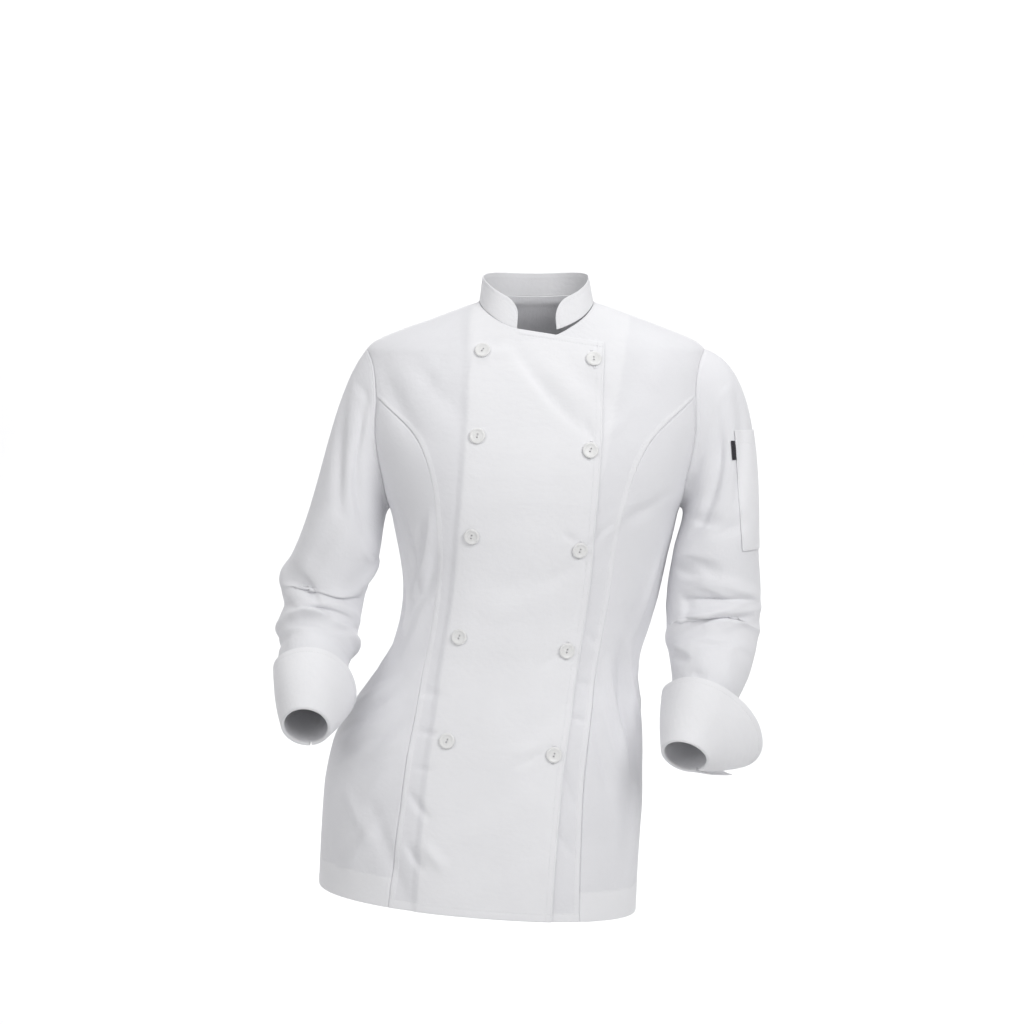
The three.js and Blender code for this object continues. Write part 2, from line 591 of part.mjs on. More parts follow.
add("collar", wall([collar()], COLLAR_CLOTH));

// Each arm's sleeve as a surface of turn (0 outside, 90 degrees in front) and share of its length.
function sleeveOf({ side, head, under, stations }, folds) {
  let run = 0;
  const lengths = stations.map((s, i) => {
    const before = stations[Math.max(0, i - 1)];
    run += Math.hypot(s.x - before.x, s.y - before.y, s.z - before.z);
    return run;
  });
  const line = columnsOf(stations.map((s, i) => ({ at: lengths[i] / run, ...s })));
  const middle = (k) => new THREE.Vector3(line.x(k), line.y(k), line.z(k));
  const frame = (k) => {
    const down = middle(Math.min(1, k + 0.01)).sub(middle(Math.max(0, k - 0.01))).normalize();
    const out = new THREE.Vector3(side, 0, 0);
    out.addScaledVector(down, -out.dot(down)).normalize();
    const ahead = out.clone().cross(down).multiplyScalar(-side);
    return { down, out, ahead };
  };
  const tube = (turn, k) => {
    const { out, ahead } = frame(k);
    const point = middle(k).addScaledVector(out, line.across(k) * Math.cos(turn));
    return point.addScaledVector(ahead, line.deep(k) * Math.sin(turn));
  };
  const shape = (turn, share) => {
    if (share >= HEAD_SHARE) return tube(turn, (share - HEAD_SHARE) / (1 - HEAD_SHARE));
    const s = share / HEAD_SHARE;
    const ring = armhole(turn, side, -SEAM_HALF - lerp(1.6, 0.3, (1 + Math.cos(turn)) / 2));
    const from = onBody(ring.angle, ring.height).point;
    const to = tube(turn, 0);
    const w = (1 + Math.cos(turn)) / 2;
    const leave = new THREE.Vector3(side * lerp(under.out, head.out, w), 0, -lerp(under.down, head.down, w));
    const arrive = tube(turn, 0.02).sub(to).setLength(from.distanceTo(to));
    const s2 = s * s;
    const s3 = s2 * s;
    const point = from.multiplyScalar(2 * s3 - 3 * s2 + 1).addScaledVector(leave, s3 - 2 * s2 + s);
    return point.addScaledVector(to, 3 * s2 - 2 * s3).addScaledVector(arrive, s3 - s2);
  };
  const folded = (turn, share) => {
    const along = shape(turn, share + 0.002).sub(shape(turn, share - 0.002));
    const round = shape(turn + 0.01, share).sub(shape(turn - 0.01, share));
    const out = round.cross(along).multiplyScalar(side).normalize();
    const fold = raised(folds, THREE.MathUtils.radToDeg(turn), share, SLEEVE_MM_PER_DEGREE, SLEEVE_MM_OVERALL);
    const fade = ease(0, 0.1, share) * ease(1, 0.9, share);
    const point = shape(turn, share).addScaledVector(out, fold.height * fade);
    return point.addScaledVector(along.normalize(), fold.slip * fade);
  };
  const at = (turn, share, lift = 0) => {
    const normal = facing(folded, turn, share, rad(1), 0.003).multiplyScalar(side);
    return { point: folded(turn, share).addScaledVector(normal, lift), normal };
  };
  const end = { ...frame(1), middle: middle(1), across: line.across(1), deep: line.deep(1) };
  return { side, at, end };
}

// The sleeves' columns and rows. The columns start where the panels' edges have their corners.
const atRidge = armholeTurnAt(0, SEAM_HALF);
const atShoulderSeam = armholeTurnAt(SHOULDER_SEAM_FORWARD, SEAM_HALF);
const sleeveTurns = joined(
  [atRidge, atShoulderSeam],
  steps(atShoulderSeam, turnAtPrincess(false), HIGH_ROWS),
  steps(turnAtPrincess(false), Math.PI, SIDE_COLUMNS),
  steps(Math.PI, turnAtPrincess(true), SIDE_COLUMNS),
  steps(turnAtPrincess(true), atRidge + 2 * Math.PI, HIGH_ROWS),
);
const sleeveShares = joined(steps(0, 0.38, 8), steps(0.38, 0.8, 18), steps(0.8, 1, 4));
function sleeveGrid({ at }) {
  const open = sleeveTurns.slice(0, -1);
  return sleeveShares.map((share) => {
    const row = open.map((turn) => at(turn, share));
    return [...row, row[0]];
  });
}
const sleeves = {
  right: sleeveOf(ARMS.right, SLEEVE_FOLDS.right),
  left: sleeveOf(ARMS.left, SLEEVE_FOLDS.left),
};
const sleeveGrids = { right: sleeveGrid(sleeves.right), left: sleeveGrid(sleeves.left) };
add("sleeve_right", wall([sleeveGrids.right.map((row) => [...row].reverse())], CLOTH));
add("sleeve_left", wall([sleeveGrids.left], CLOTH));

// A cuff: it starts at the sleeve's end, rolls outward and goes back up the arm. Towards its vent it
// stands away from the arm by the vent's tilts.
const CUFF = { cloth: 2.2, roll: 3.3, tilt: 13, corner: 16, bow: 2, cover: 1.5 };
function cuff({ side, end }, vent) {
  const first = rad(vent.at + vent.gap / 2);
  const last = rad(vent.at - vent.gap / 2 + 360);
  const fade = (x) => (x < 1 ? (1 - x) ** 2 * (1 + 2 * x) : 0);
  const place = (turn, path) => {
    const fromFirst = THREE.MathUtils.radToDeg(turn - first);
    const fromLast = THREE.MathUtils.radToDeg(last - turn);
    const outside = (vent.outside.tilt - CUFF.tilt) * fade(Math.max(0, fromFirst) / vent.outside.reach);
    const inside = (vent.inside.tilt - CUFF.tilt) * fade(Math.max(0, fromLast) / vent.inside.reach);
    const tilt = rad(CUFF.tilt + outside + inside);
    const out = end.out.clone().multiplyScalar(Math.cos(turn) * end.deep);
    out.addScaledVector(end.ahead, Math.sin(turn) * end.across).normalize();
    const point = end.middle.clone().addScaledVector(end.out, end.across * Math.cos(turn));
    point.addScaledVector(end.ahead, end.deep * Math.sin(turn));
    const rolled = Math.PI - tilt;
    const swing = clamp(path, 0, 1) * rolled;
    let away = CUFF.roll - CLOTH - CUFF.roll * Math.cos(swing);
    let down = SEAM + CUFF.cover + CUFF.roll * Math.sin(swing);
    if (path < 0) down += path * CUFF.cover;
    if (path > 1) {
      const near = Math.min(fromFirst, fromLast) * 0.55;
      const round = clamp(1 - near / CUFF.corner, 0, 1);
      const long = CUFF_HEIGHT - CUFF.corner * (1 - Math.sqrt(1 - round * round));
      const up = (path - 1) * long;
      const bow = CUFF.bow * Math.sin(Math.PI * (path - 1));
      away += up * Math.sin(tilt) + bow * Math.cos(tilt);
      down -= up * Math.cos(tilt) - bow * Math.sin(tilt);
    }
    return point.addScaledVector(out, away).addScaledVector(end.down, down);
  };
  const spread = (t) => lerp(first, last, t - 0.05 * Math.sin(2 * Math.PI * t));
  const turns = steps(0, 1, 20).map(spread);
  const paths = [-1, 0, 0.34, 0.67, 1, 1.25, 1.55, 1.82, 2];
  const grid = paths.map((path) => {
    const row = turns.map((turn) => {
      const normal = facing(place, turn, path, rad(0.5), 0.01).multiplyScalar(-side);
      return { point: place(turn, path), normal };
    });
    return side > 0 ? row.reverse() : row;
  });
  return wall([grid], CUFF.cloth);
}
add("cuff_right", cuff(sleeves.right, ARMS.right.vent));
add("cuff_left", cuff(sleeves.left, ARMS.left.vent));

const manifold = await Module();
manifold.setup();
const { Manifold, Mesh } = manifold;

function solidOf(geometry) {
  const { attributes, index } = mergeVertices(geometry, 1e-4);
  const vertProperties = new Float32Array(attributes.position.array);
  return new Manifold(new Mesh({ numProp: 3, vertProperties, triVerts: new Uint32Array(index.array) }));
}

function geometryOf(solid) {
  const { vertProperties, triVerts, numProp } = solid.getMesh();
  const geometry = new THREE.BufferGeometry();
  const count = vertProperties.length / numProp;
  const xyz = Array.from({ length: count }, (_, i) => [0, 1, 2].map((k) => vertProperties[i * numProp + k]));
  geometry.setAttribute("position", new THREE.Float32BufferAttribute(xyz.flat(), 3));
  geometry.setIndex([...triVerts]);
  return mergeVertices(geometry, 1e-4);
}

// A piece that lies on the outside of the left sleeve, parallel to it. Its outline is given as seen
// from the front, as how far out and how high, and it ends at the distance back.
function onSleeve(outline, back, cloth) {
  const turns = sleeveTurns.map((turn, i) => ({ turn, i }));
  const behind = turns.filter(({ turn }) => turn > rad(285)).map(({ i }) => i);
  const before = turns.filter(({ turn }) => turn > rad(3) && turn < rad(85)).map(({ i }) => i);
  const rows = sleeveShares.map((_, r) => r).filter((r) => sleeveShares[r] > 0.06 && sleeveShares[r] < 0.55);
  const lifted = ({ point, normal }) => ({
    point: point.clone().addScaledVector(normal, ON_SLEEVE + cloth),
    normal,
  });
  const grid = rows.map((r) => [...behind, ...before].map((c) => lifted(sleeveGrids.left[r][c])));
  const block = Manifold.extrude([outline], 200).rotate([90, 0, 0]).translate([0, back, 0]);
  return geometryOf(solidOf(wall([grid], cloth)).intersect(block));
}
const ON_SLEEVE = 0.4; // space between the sleeve and what lies on it
const pocketOutline = [
  [POCKET.frontTop, POCKET.top],
  [POCKET.frontBottom, POCKET.bottom],
  [320, POCKET.bottom],
  [320, POCKET.top],
];
add("sleeve_pocket", onSleeve(pocketOutline, POCKET.back, POCKET.cloth));
const tabEdge = POCKET.frontTop - SEAM - 0.2;
const tabOutline = [
  [tabEdge - TAB.width, TAB.top],
  [tabEdge - TAB.width, TAB.bottom],
  [tabEdge, TAB.bottom],
  [tabEdge, TAB.top],
];
add("pocket_tab", onSleeve(tabOutline, 0, TAB.cloth), materials.tab);

function buttonBody() {
  const { radius, thick, dish, rim, hole, holeGap } = BUTTON;
  const floor = thick - rim;
  const outline = [
    [0, 0],
    [radius, 0],
    [radius, thick - 0.8],
    [radius - 0.9, thick],
    [dish + 1, thick],
    [dish, floor],
    [0, floor],
  ];
  let body = Manifold.revolve([outline], 14);
  for (const side of [-1, 1]) {
    const hollow = Manifold.cylinder(thick * 2, hole, hole, 5, true);
    body = body.subtract(hollow.translate([0.35 * side, (holeGap / 2 + 0.4) * side, thick / 2]));
  }
  return geometryOf(body);
}

// The place on the right front that a viewer in front sees at x across and z up.
function frontPlace(x, z) {
  let height = z;
  let off = 0;
  for (let i = 0; i < 12; i++) {
    const angle = angleAcross(off, height);
    const ahead = Math.cos(angle) ** (2 / torso.power(height));
    off = x - torso.centre(height) - torso.shift(height) * ahead;
    height = z + torso.roll(height) * (x - torso.centre(height));
  }
  return { off, height };
}

const button = buttonBody();
for (const { row, ...places } of BUTTONS)
  for (const [column, { x, z }] of Object.entries(places)) {
    const { off, height } = frontPlace(x, z);
    const angle = angleAcross(off, height);
    const lift = rightLift(off, height) + BUTTON.lift;
    const { point, normal } = onBody(angle, height, lift);
    const up = onBody(angle, height + 4, lift).point.sub(point);
    up.addScaledVector(normal, -up.dot(normal)).normalize();
    const across = up.clone().cross(normal);
    const geometry = button.clone();
    geometry.applyMatrix4(new THREE.Matrix4().makeBasis(across, up, normal).setPosition(point));
    add(`button_${column}_${row}`, geometry, materials.button);
  }

export default jacket;
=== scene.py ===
"""A woman's double-breasted chef jacket in white twill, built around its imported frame.

Shapes are worked out in millimetres, in the frame's own axes: +Z up, the front faces -Y, and +X is the
wearer's left. They become metres when a mesh is made.
"""
import math

import bpy
import numpy as np
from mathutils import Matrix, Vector


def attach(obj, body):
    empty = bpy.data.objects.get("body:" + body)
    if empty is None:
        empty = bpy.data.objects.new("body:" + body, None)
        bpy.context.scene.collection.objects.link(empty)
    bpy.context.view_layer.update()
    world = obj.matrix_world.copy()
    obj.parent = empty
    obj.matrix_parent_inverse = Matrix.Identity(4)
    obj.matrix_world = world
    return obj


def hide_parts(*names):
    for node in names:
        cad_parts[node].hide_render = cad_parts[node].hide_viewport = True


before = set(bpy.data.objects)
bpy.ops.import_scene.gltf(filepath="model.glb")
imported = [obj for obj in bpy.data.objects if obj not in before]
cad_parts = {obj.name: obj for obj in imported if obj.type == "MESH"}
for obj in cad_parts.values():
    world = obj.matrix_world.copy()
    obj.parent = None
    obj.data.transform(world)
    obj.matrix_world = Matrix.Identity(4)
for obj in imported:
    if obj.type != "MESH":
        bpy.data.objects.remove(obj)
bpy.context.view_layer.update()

# Cloth and layout.
CLOTH = 1.1  # thickness of a body or sleeve wall
DOUBLED = 1.3  # thickness of the collar, the cuffs and the right front
SPACING = 3.1  # between the points of a piece
BACK_SPACING = 3.7
HEM = -716
LAP_EDGE = 78
LAP_LIFT = 2.0
COLLAR = {
    "front": 33, "back": 27, "seat": 0.75, "corner": 17, "corner_share": 0.55, "stitch": 5,
    "round": 66, "end_round": 62,  # millimetres to a radian, on the whole and near the ends
}
COLLAR_LEAN = {"front": -0.2, "back": -0.16}
COLLAR_END = 23.5
NECK = {"half_width": 68, "front": 64, "back": 58, "slope": 0.3457, "curve": 0.00388}
SHOULDER_SEAM_FORWARD = 12
SEAM_HALF = 0.15  # half the gap at a seam
TUCK = 2.6  # how far a seam allowance reaches under its neighbour
TUCK_DROP = 1.75  # how far under it lies
ARMHOLE = {"height": -152, "rise": 96, "ahead": 55, "spine": 4}
BAND = 7.0  # width of the doubled band along a seam
BAND_RAISE = 0.4
ARM_BAND = 5.0  # the same along the armhole
SIDE_HEM = 35.0
FRONT_HEM = 10.0
EDGE_STITCH = 8.5  # from the front edge to its stitching
STITCH = {"pitch": 3.3, "length": 2.3, "radius": 0.26, "lift": 0.1}
RIM = 0.28  # how far a wall's rounded rim stands out past its edge

CREASE_STEPS = 7  # straight runs that stand for a crease's curve
CREASE_DEPTH = 2.1  # multiplies the heights of the body's front creases
SLEEVE_CREASE_DEPTH = 0.75  # the same for the sleeves' front creases
HIDDEN_DEPTH = 2.0  # the same for the creases that the front view hides
SLIP = 0.5  # multiplies the slip of the sleeves' folds
GROOVE = {"depth": 0.34, "width": 0.75}  # where a line of stitches sinks in
PUCKER = {"height": 0.3, "width": 4.5}
SINK = 0.7  # how far inside a band's edge its stitching lies


def curve(x, y):
    """A smooth function through points, which doesn't overshoot them."""
    rise = np.diff(y) / np.diff(x)
    product = rise[:-1] * rise[1:]
    total = np.where(product > 0, rise[:-1] + rise[1:], 1)
    middle = np.where(product > 0, 2 * product / total, 0)
    slope = np.concatenate([rise[:1], middle, rise[-1:]])

    def at(v):
        v = np.clip(v, x[0], x[-1])
        i = np.clip(np.searchsorted(x, v) - 1, 0, len(x) - 2)
        h = x[i + 1] - x[i]
        t = (v - x[i]) / h
        keep = (1 + 2 * t) * (1 - t) ** 2 * y[i] + t * t * (3 - 2 * t) * y[i + 1]
        return keep + t * (1 - t) ** 2 * h * slope[i] - t * t * (1 - t) * h * slope[i + 1]

    return at


def table(names, rows):
    """Functions of the first column that give each of the other named columns."""
    data = np.array(sorted(rows), float)
    return {name: curve(data[:, 0], data[:, i]) for i, name in enumerate(names.split()) if i}


# Level sections of the body: the section's middle and half width, its reach to the front and the back of
# the spine line, how far its front is turned sideways, how much it drops to the wearer's left, and how
# square it is.
TORSO = table("height centre half front back spine shift roll power", [
    (14, 0, 66.6, 30, 52, 0, 0, 0, 2),
    (8, 0, 67.7, 38, 55, 0, 0, 0, 2),
    (0, 0, 68, 44, 57, 0, 0.5, 0, 2),
    (-6, 0, 84, 47, 60, 1, 0.5, 0, 2),
    (-20, 0, 122, 54, 67, 2, 1, 0, 2),
    (-32, -1, 155, 60, 74, 3, 1, 0, 2),
    (-42, -1, 180, 66, 79, 4, 1.5, 0, 2.02),
    (-50, -1, 195, 71, 83, 5, 1.5, 0, 2.06),
    (-60, -1, 203, 77, 89, 5, 1.5, 0, 2.12),
    (-90, -1, 207, 93, 100, 5, 0, 0, 2.25),
    (-120, 0, 208, 105, 106, 5, -2, 0, 2.3),
    (-150, 0, 206, 114, 109, 5, -3, 0, 2.35),
    (-180, 0, 198, 121, 110, 5, -5, 0, 2.35),
    (-209, 0, 187, 124, 109, 5, -7, 0, 2.35),
    (-233, 0, 179, 123, 106, 4, -9, 0, 2.3),
    (-250, -1, 172, 121, 103, 4, -10, 0, 2.3),
    (-275, -1, 166, 117, 99, 3, -12, 0, 2.25),
    (-310, -2, 158, 111, 94, 3, -14, 0.008, 2.25),
    (-345, -5, 153, 106, 91, 2, -15, 0.015, 2.2),
    (-380, -12, 150, 103, 90, 2, -13, 0.024, 2.2),
    (-415, -23, 149, 103, 94, 1, -7, 0.033, 2.2),
    (-445, -33, 154, 106, 101, 1, -1, 0.04, 2.2),
    (-475, -41, 166, 109, 108, 0, 4, 0.044, 2.2),
    (-505, -51, 178, 113, 114, 0, 10, 0.047, 2.2),
    (-540, -59, 186, 118, 119, 0, 13, 0.052, 2.2),
    (-600, -65, 191, 124, 121, 0, 13, 0.062, 2.2),
    (-660, -69, 191, 127, 120, 0, 12, 0.071, 2.2),
    (-725, -72, 191, 128, 119, 0, 11, 0.078, 2.2),
])

# The princess seam's distance from the centre line, from the hem to the armhole.
PRINCESS = table("height off", [
    (-112, 186), (-128, 169), (-140, 156), (-153, 143.5), (-166, 134), (-192, 122), (-220, 114),
    (-264, 106.5), (-300, 103.5), (-354, 101.5), (-407, 100.5), (-508, 103), (-577, 105),
    (-652, 108.5), (-730, 112),
])
PRINCESS_TOP = -112

# The upper edge of each front between the collar's end and the overlap's corner.
TOP_EDGE = {"right": (-34, -50.5), "left": (-40, -64)}

# The body's large folds: from (degrees round, height) to (degrees round, height), width, height.
BODY_FOLDS = [
    (3, -62, 30, -150, 12, -2.4),
    (-62, -70, -34, -165, 15, -2.2),
    (-30, -58, -38, -105, 9, -1.8),
    (-74, -262, -62, -395, 9, 4),
    (-62, -250, -53, -345, 8, -3.5),
    (-78, -420, -46, -350, 12, 3),
    (-88, -500, -44, -440, 11, 4.2),
    (-86, -530, -42, -480, 8, -3.4),
    (-80, -570, -38, -520, 10, 3.2),
    (-44, -600, -27, -700, 9, -3.4),
    (-60, -590, -44, -640, 9, 2.6),
    (47, -420, 56, -540, 8, 4.6),
    (62, -395, 74, -500, 8, 4),
    (53, -440, 64, -570, 8, -4),
    (72, -290, 66, -380, 9, 3.4),
    (38, -255, 60, -230, 9, -2.6),
    (70, -560, 62, -690, 13, 3.6),
    (112, -330, 128, -470, 12, 4.4),
    (150, -370, 110, -420, 12, -3.4),
    (170, -395, 122, -455, 13, 3.6),
    (-112, -340, -130, -455, 12, 4.2),
    (-160, -380, -112, -440, 12, -3.4),
    (-172, -420, -118, -500, 14, 3.6),
    (-150, -110, -120, -210, 15, 2.6),
    (150, -110, 120, -215, 15, 2.6),
]
BODY_MM_PER_DEGREE = 2.6

# Each arm: its centre line and half sizes across and fore and aft, how the sleeve's head leaves the
# shoulder, and how the cuff stands away from the arm at its vent.
ARMS = {
    "right": {
        "side": -1,
        "head": (118, 140),
        "under": (34, 12),
        "stations": [
            (-237, -2, -296, 49, 59),
            (-255, 0, -345, 49.5, 56),
            (-260, -20, -388, 47, 52),
            (-262.5, -52, -419, 43, 47),
            (-264, -79, -441, 40, 43),
            (-266.5, -132, -489, 27, 32.5),
        ],
        "vent": {"at": 262, "gap": 6, "outside": (17, 60), "inside": (34, 90)},
    },
    "left": {
        "side": 1,
        "head": (218, 64),
        "under": (30, 8),
        "stations": [
            (215, -12, -300, 51, 57),
            (213, -6, -350, 56, 57),
            (211, -16, -392, 55, 54),
            (207, -44, -426, 49, 48),
            (198.5, -74, -456, 40, 43),
            (172, -128, -524, 27, 32.5),
        ],
        "vent": {"at": 310, "gap": 8, "outside": (55, 100), "inside": (60, 75)},
    },
}

# The sleeves' large folds: from (degrees round, share of the length) to the same, width, height, slip.
# Slip draws the cloth down the arm, so that a ridge hangs over the cloth below it; some have none.
SLEEVE_FOLDS = {
    "right": [
        (20, 0.12, 78, 0.3, 12, -5),
        (60, 0.05, 128, 0.3, 11, -4),
        (-25, 0.575, 60, 0.64, 11, -4.5),
        (60, 0.64, 120, 0.69, 9, -4),
        (-40, 0.505, 30, 0.54, 13, 6.5, 2),
        (70, 0.58, 150, 0.5, 10, 4, 3),
        (60, 0.65, 175, 0.63, 9, 4, 2),
        (-70, 0.63, 60, 0.69, 10, 5, 4),
        (60, 0.69, 130, 0.705, 10, 5, 4),
        (130, 0.705, 215, 0.69, 10, 8, 5),
        (-40, 0.71, 60, 0.76, 9, -3),
        (100, 0.77, 200, 0.76, 9, -3),
        (175, 0.4, 140, 0.49, 10, 6, 2),
        (200, 0.5, 300, 0.52, 12, 5),
        (215, 0.62, 320, 0.6, 12, -6),
    ],
    "left": [
        (25, 0.12, 70, 0.3, 12, -4),
        (70, 0.08, 130, 0.3, 11, -5),
        (95, 0.33, 55, 0.34, 9, -4),
        (130, 0.42, 85, 0.45, 9, -4.5, 1),
        (85, 0.46, 35, 0.52, 10, 6, 2),
        (130, 0.55, 55, 0.53, 9, -5),
        (175, 0.665, 20, 0.56, 10, 7, 2),
        (100, 0.64, 40, 0.6, 7, -3.5),
        (95, 0.68, 10, 0.62, 9, 4.5, 1.5),
        (170, 0.71, 30, 0.7, 9, -4),
        (150, 0.72, 60, 0.72, 9, 4),
        (200, 0.56, 300, 0.6, 12, 5),
        (210, 0.66, 320, 0.7, 12, -5),
    ],
}
SLEEVE_MM_PER_DEGREE = 0.95
SLEEVE_MM_OVERALL = 520
HEAD_SHARE = 0.42
SLEEVE_SEAM = 205  # degrees round the arm, where its underarm seam runs

# The finer creases that show from the front, in millimetres across and up as the camera sees them on the
# plane through the neck: from, to, width, height, and where they aren't zero, the bend to the right of the
# way and how much steeper the fold is on that side.
FRONT_CREASES = [
    (-28, -54, 70, -166, 9, -1.6, 6, 0.3),  # from the overlap's corner to the second left button
    (16, -58, 64, -128, 15, 0.8, 4),
    (-60, -56, -44, -45, 3.5, -1.1, 2),  # above the top right button
    (-54, -64, -30, -60, 5, 0.5),
    (-152, -70, -88, -150, 15, -1.3, -8),
    (-178, -92, -140, -168, 11, -1.1, 4),
    (-132, -66, -104, -112, 9, 0.8),
    (-128, -252, -150, -352, 5, 1.5, -6, 0.3),  # waist, right
    (-121, -300, -149, -378, 6, -1.7, -5, 0.3),
    (-134, -352, -163, -432, 7, 1.3, -4),
    (-138, -262, -146, -318, 4, -1.2),
    (62, -299, 98, -262, 5, -1.3, -3, 0.3),  # pulls at the third left button
    (68, -284, 116, -238, 9, 1, 4),
    (32, -276, 50, -288, 4, -0.9, 1),
    (2, -340, 46, -312, 10, -0.9, 4),
    (70, -170, 122, -118, 8, 0.8, 4),
    (58, -140, 66, -166, 4, -0.9),
    (-54, -350, 0, -320, 15, -0.9, 5),
    (-68, -372, -16, -362, 16, 0.8, 5),
    (-30, -505, 40, -420, 20, 1, 6),
    (-20, -530, 44, -470, 14, -0.8, 4),
    (-26, -562, 10, -541, 5, -1, 2, 0.3),  # pulls at the fifth left button
    (-30, -544, 4, -536, 6, 0.6),
    (8, -440, 28, -418, 5, -0.8, 1),
    (-88, -650, -2, -584, 20, 1.3, 6),
    (-66, -690, 14, -650, 16, -0.8, 4),
    (-136, -655, -110, -686, 7, 1.6),
    (-157, -655, -137, -688, 5, -2.2, 2, 0.4),  # wedges above the hem
    (-166, -478, -228, -536, 11, 1.8, 6, 0.2),  # hip, right
    (-154, -497, -216, -566, 9, -1.6, 6),
    (-148, -440, -200, -492, 9, -1.3, 4),
    (-150, -540, -208, -606, 10, 1.2, 5),
    (-160, -600, -222, -640, 10, -1.2, -4),
    (-186, -616, -232, -690, 9, 1.3),
    (-140, -470, -112, -473, 5, -1.1),  # across the strip beside the underlap
    (-143, -518, -119, -521, 4, -1.3),
    (-148, -562, -124, -566, 4, -0.8),
    (-153, -592, -128, -624, 5, -1.7, 2),
    (80, -470, 104, -564, 6, 1.9, 5, 0.3),  # left hip, fanning down from the waist
    (72, -490, 90, -588, 5, -1.7, 4),
    (102, -412, 109, -522, 6, -1.9, 3, 0.2),
    (116, -420, 121, -560, 5, 1.7, 3, 0.2),
    (93, -430, 92, -500, 5, 1),
    (112, -556, 118, -640, 7, -1.6, 3),
    (96, -590, 104, -680, 8, 1.3, 2),
    (60, -394, 73, -415, 4, -1),  # across the strip beside the overlap
    (48, -455, 65, -464, 4, -1),
    (43, -500, 60, -506, 4, -1.2),
    (36, -560, 46, -612, 5, -1.3, 2),
    (26, -640, 44, -670, 5, -1.1),
    (118, -64, 112, -150, 16, -0.9, 4),
    (150, -60, 140, -110, 12, 0.7),
]
SLEEVE_CREASES = {
    "right": [
        (-216, -94, -190, -156, 10, -4, -7, 0.4),  # beside the armhole
        (-232, -100, -226, -160, 12, 2),
        (-205, -150, -212, -210, 11, -1.6),
        (-243, -248, -290, -316, 13, 4, 4, 0.3),
        (-232, -262, -274, -330, 10, -3, 4),
        (-206, -284, -187, -318, 7, 3.6, 8, 0.4),  # pinch inside the elbow
        (-198, -302, -185, -315, 4.5, -3.4, 1, 0.4),
        (-192, -280, -204, -256, 7, -2.4),
        (-307, -330, -258, -366, 12, -6.5, -7, 0.5),  # hollow under the elbow's fold
        (-287, -318, -256, -370, 9, 5, -7, 0.65),
        (-258, -371, -220, -384, 6, -5, 3, 0.5),
        (-252, -346, -226, -350, 10, 2.4),
        (-308, -346, -262, -376, 9, 4.4, 2, 0.5),
        (-308, -374, -205, -392, 11, 4.6, -9, 0.7),  # overhang above the forearm
        (-302, -389, -250, -391, 6, -5.5, -5, 0.5),
        (-258, -391, -206, -404, 6, -5, -3, 0.5),
        (-304, -398, -307, -432, 5, -3, 0, 0.3),
        (-226, -412, -219, -440, 8, -1.8),
        (-262, -404, -268, -430, 12, 1.6),
    ],
    "left": [
        (236, -98, 204, -152, 8, 3.2, 3, 0.4),  # from the sleeve's head
        (230, -108, 210, -144, 7, -2.4),
        (225, -160, 217, -194, 6, -2.8),
        (212, -160, 198, -232, 11, 3.2, 3, 0.4),
        (226, -190, 221, -250, 10, 1.8),
        (184, -257, 228, -263, 9, -5, 5, 0.5),
        (184, -246, 226, -250, 9, 2.6, 4),
        (166, -312, 198, -326, 9, -5.4, 7, 0.5),
        (164, -298, 200, -308, 10, 2.6, 4),
        (193, -340, 244, -368, 9, 5.2, -5, 0.5),
        (174, -366, 238, -363, 10, -5.5, 2, 0.5),
        (172, -348, 181, -386, 6, -4, -4, 0.4),
        (151, -408, 272, -356, 9, 5.6, -7, 0.6),  # long ridge across the elbow
        (214, -391, 236, -384, 4.5, -3.4, 3, 0.3),
        (198, -396, 268, -378, 7, 4.2, 3, 0.5),
        (189, -408, 242, -411, 6.5, -6, 3, 0.5),
        (236, -393, 266, -424, 8, 4.2, 4, 0.5),
        (240, -408, 256, -428, 6, -3.2, 2),
        (152, -409, 186, -426, 6.5, 4, -2, 0.5),
        (158, -426, 186, -430, 6, -5.6, 2, 0.5),
        (188, -447, 206, -454, 6, -4, 0, 0.3),
        (229, -430, 237, -472, 9, 3.2, 3, 0.2),
        (204, -430, 194, -448, 7, 2.4),
        (252, -230, 246, -300, 13, 1.8),
    ],
}

# Creases that the front view hides: body (degrees round, height), sleeves (degrees round, share of the
# length), with the same columns after those four.
HIDDEN_CREASES = [
    (172, -372, 118, -398, 6, -1.8, 8, 0.3),
    (164, -402, 126, -432, 5, 1.7, -6, 0.3),
    (178, -424, 134, -470, 8, -1.5, 8, 0.2),
    (156, -452, 112, -512, 9, 1.8, 6, 0.2),
    (148, -350, 122, -360, 5, 1.3, 4),
    (-168, -366, -122, -388, 6, -1.7, -8, 0.3),
    (-176, -396, -130, -436, 6, 1.8, -5, 0.3),
    (-158, -444, -116, -484, 8, -1.6, -8, 0.2),
    (-170, -470, -124, -536, 10, 1.6, -6, 0.2),
    (-146, -342, -124, -352, 5, -1.2),
    (178, -330, 166, -352, 7, 1),
    (-177, -344, -168, -360, 6, -1),
    (160, -90, 138, -196, 10, -1.4, 6),
    (-158, -84, -136, -206, 11, -1.5, -6),
    (-176, -120, -164, -250, 15, 1.2),
    (174, -150, 160, -282, 16, 1.1, 4),
    (104, -236, 132, -330, 8, 1.7, 6, 0.2),
    (-100, -240, -128, -322, 8, 1.8, -6, 0.2),
    (98, -256, 118, -352, 6, -1.6),
    (-96, -262, -116, -362, 6, -1.5),
    (134, -520, 146, -668, 12, 1.6, 6),
    (116, -560, 124, -690, 11, -1.5),
    (-132, -560, -144, -700, 13, 1.6, -6),
    (-112, -600, -118, -700, 9, -1.4),
    (160, -600, 166, -704, 12, -1.2),
    (-168, -580, -172, -690, 12, 1.2),
    (92, -420, 104, -540, 7, 1.9, 4, 0.2),
    (-94, -410, -106, -520, 7, 1.8, -4, 0.2),
]
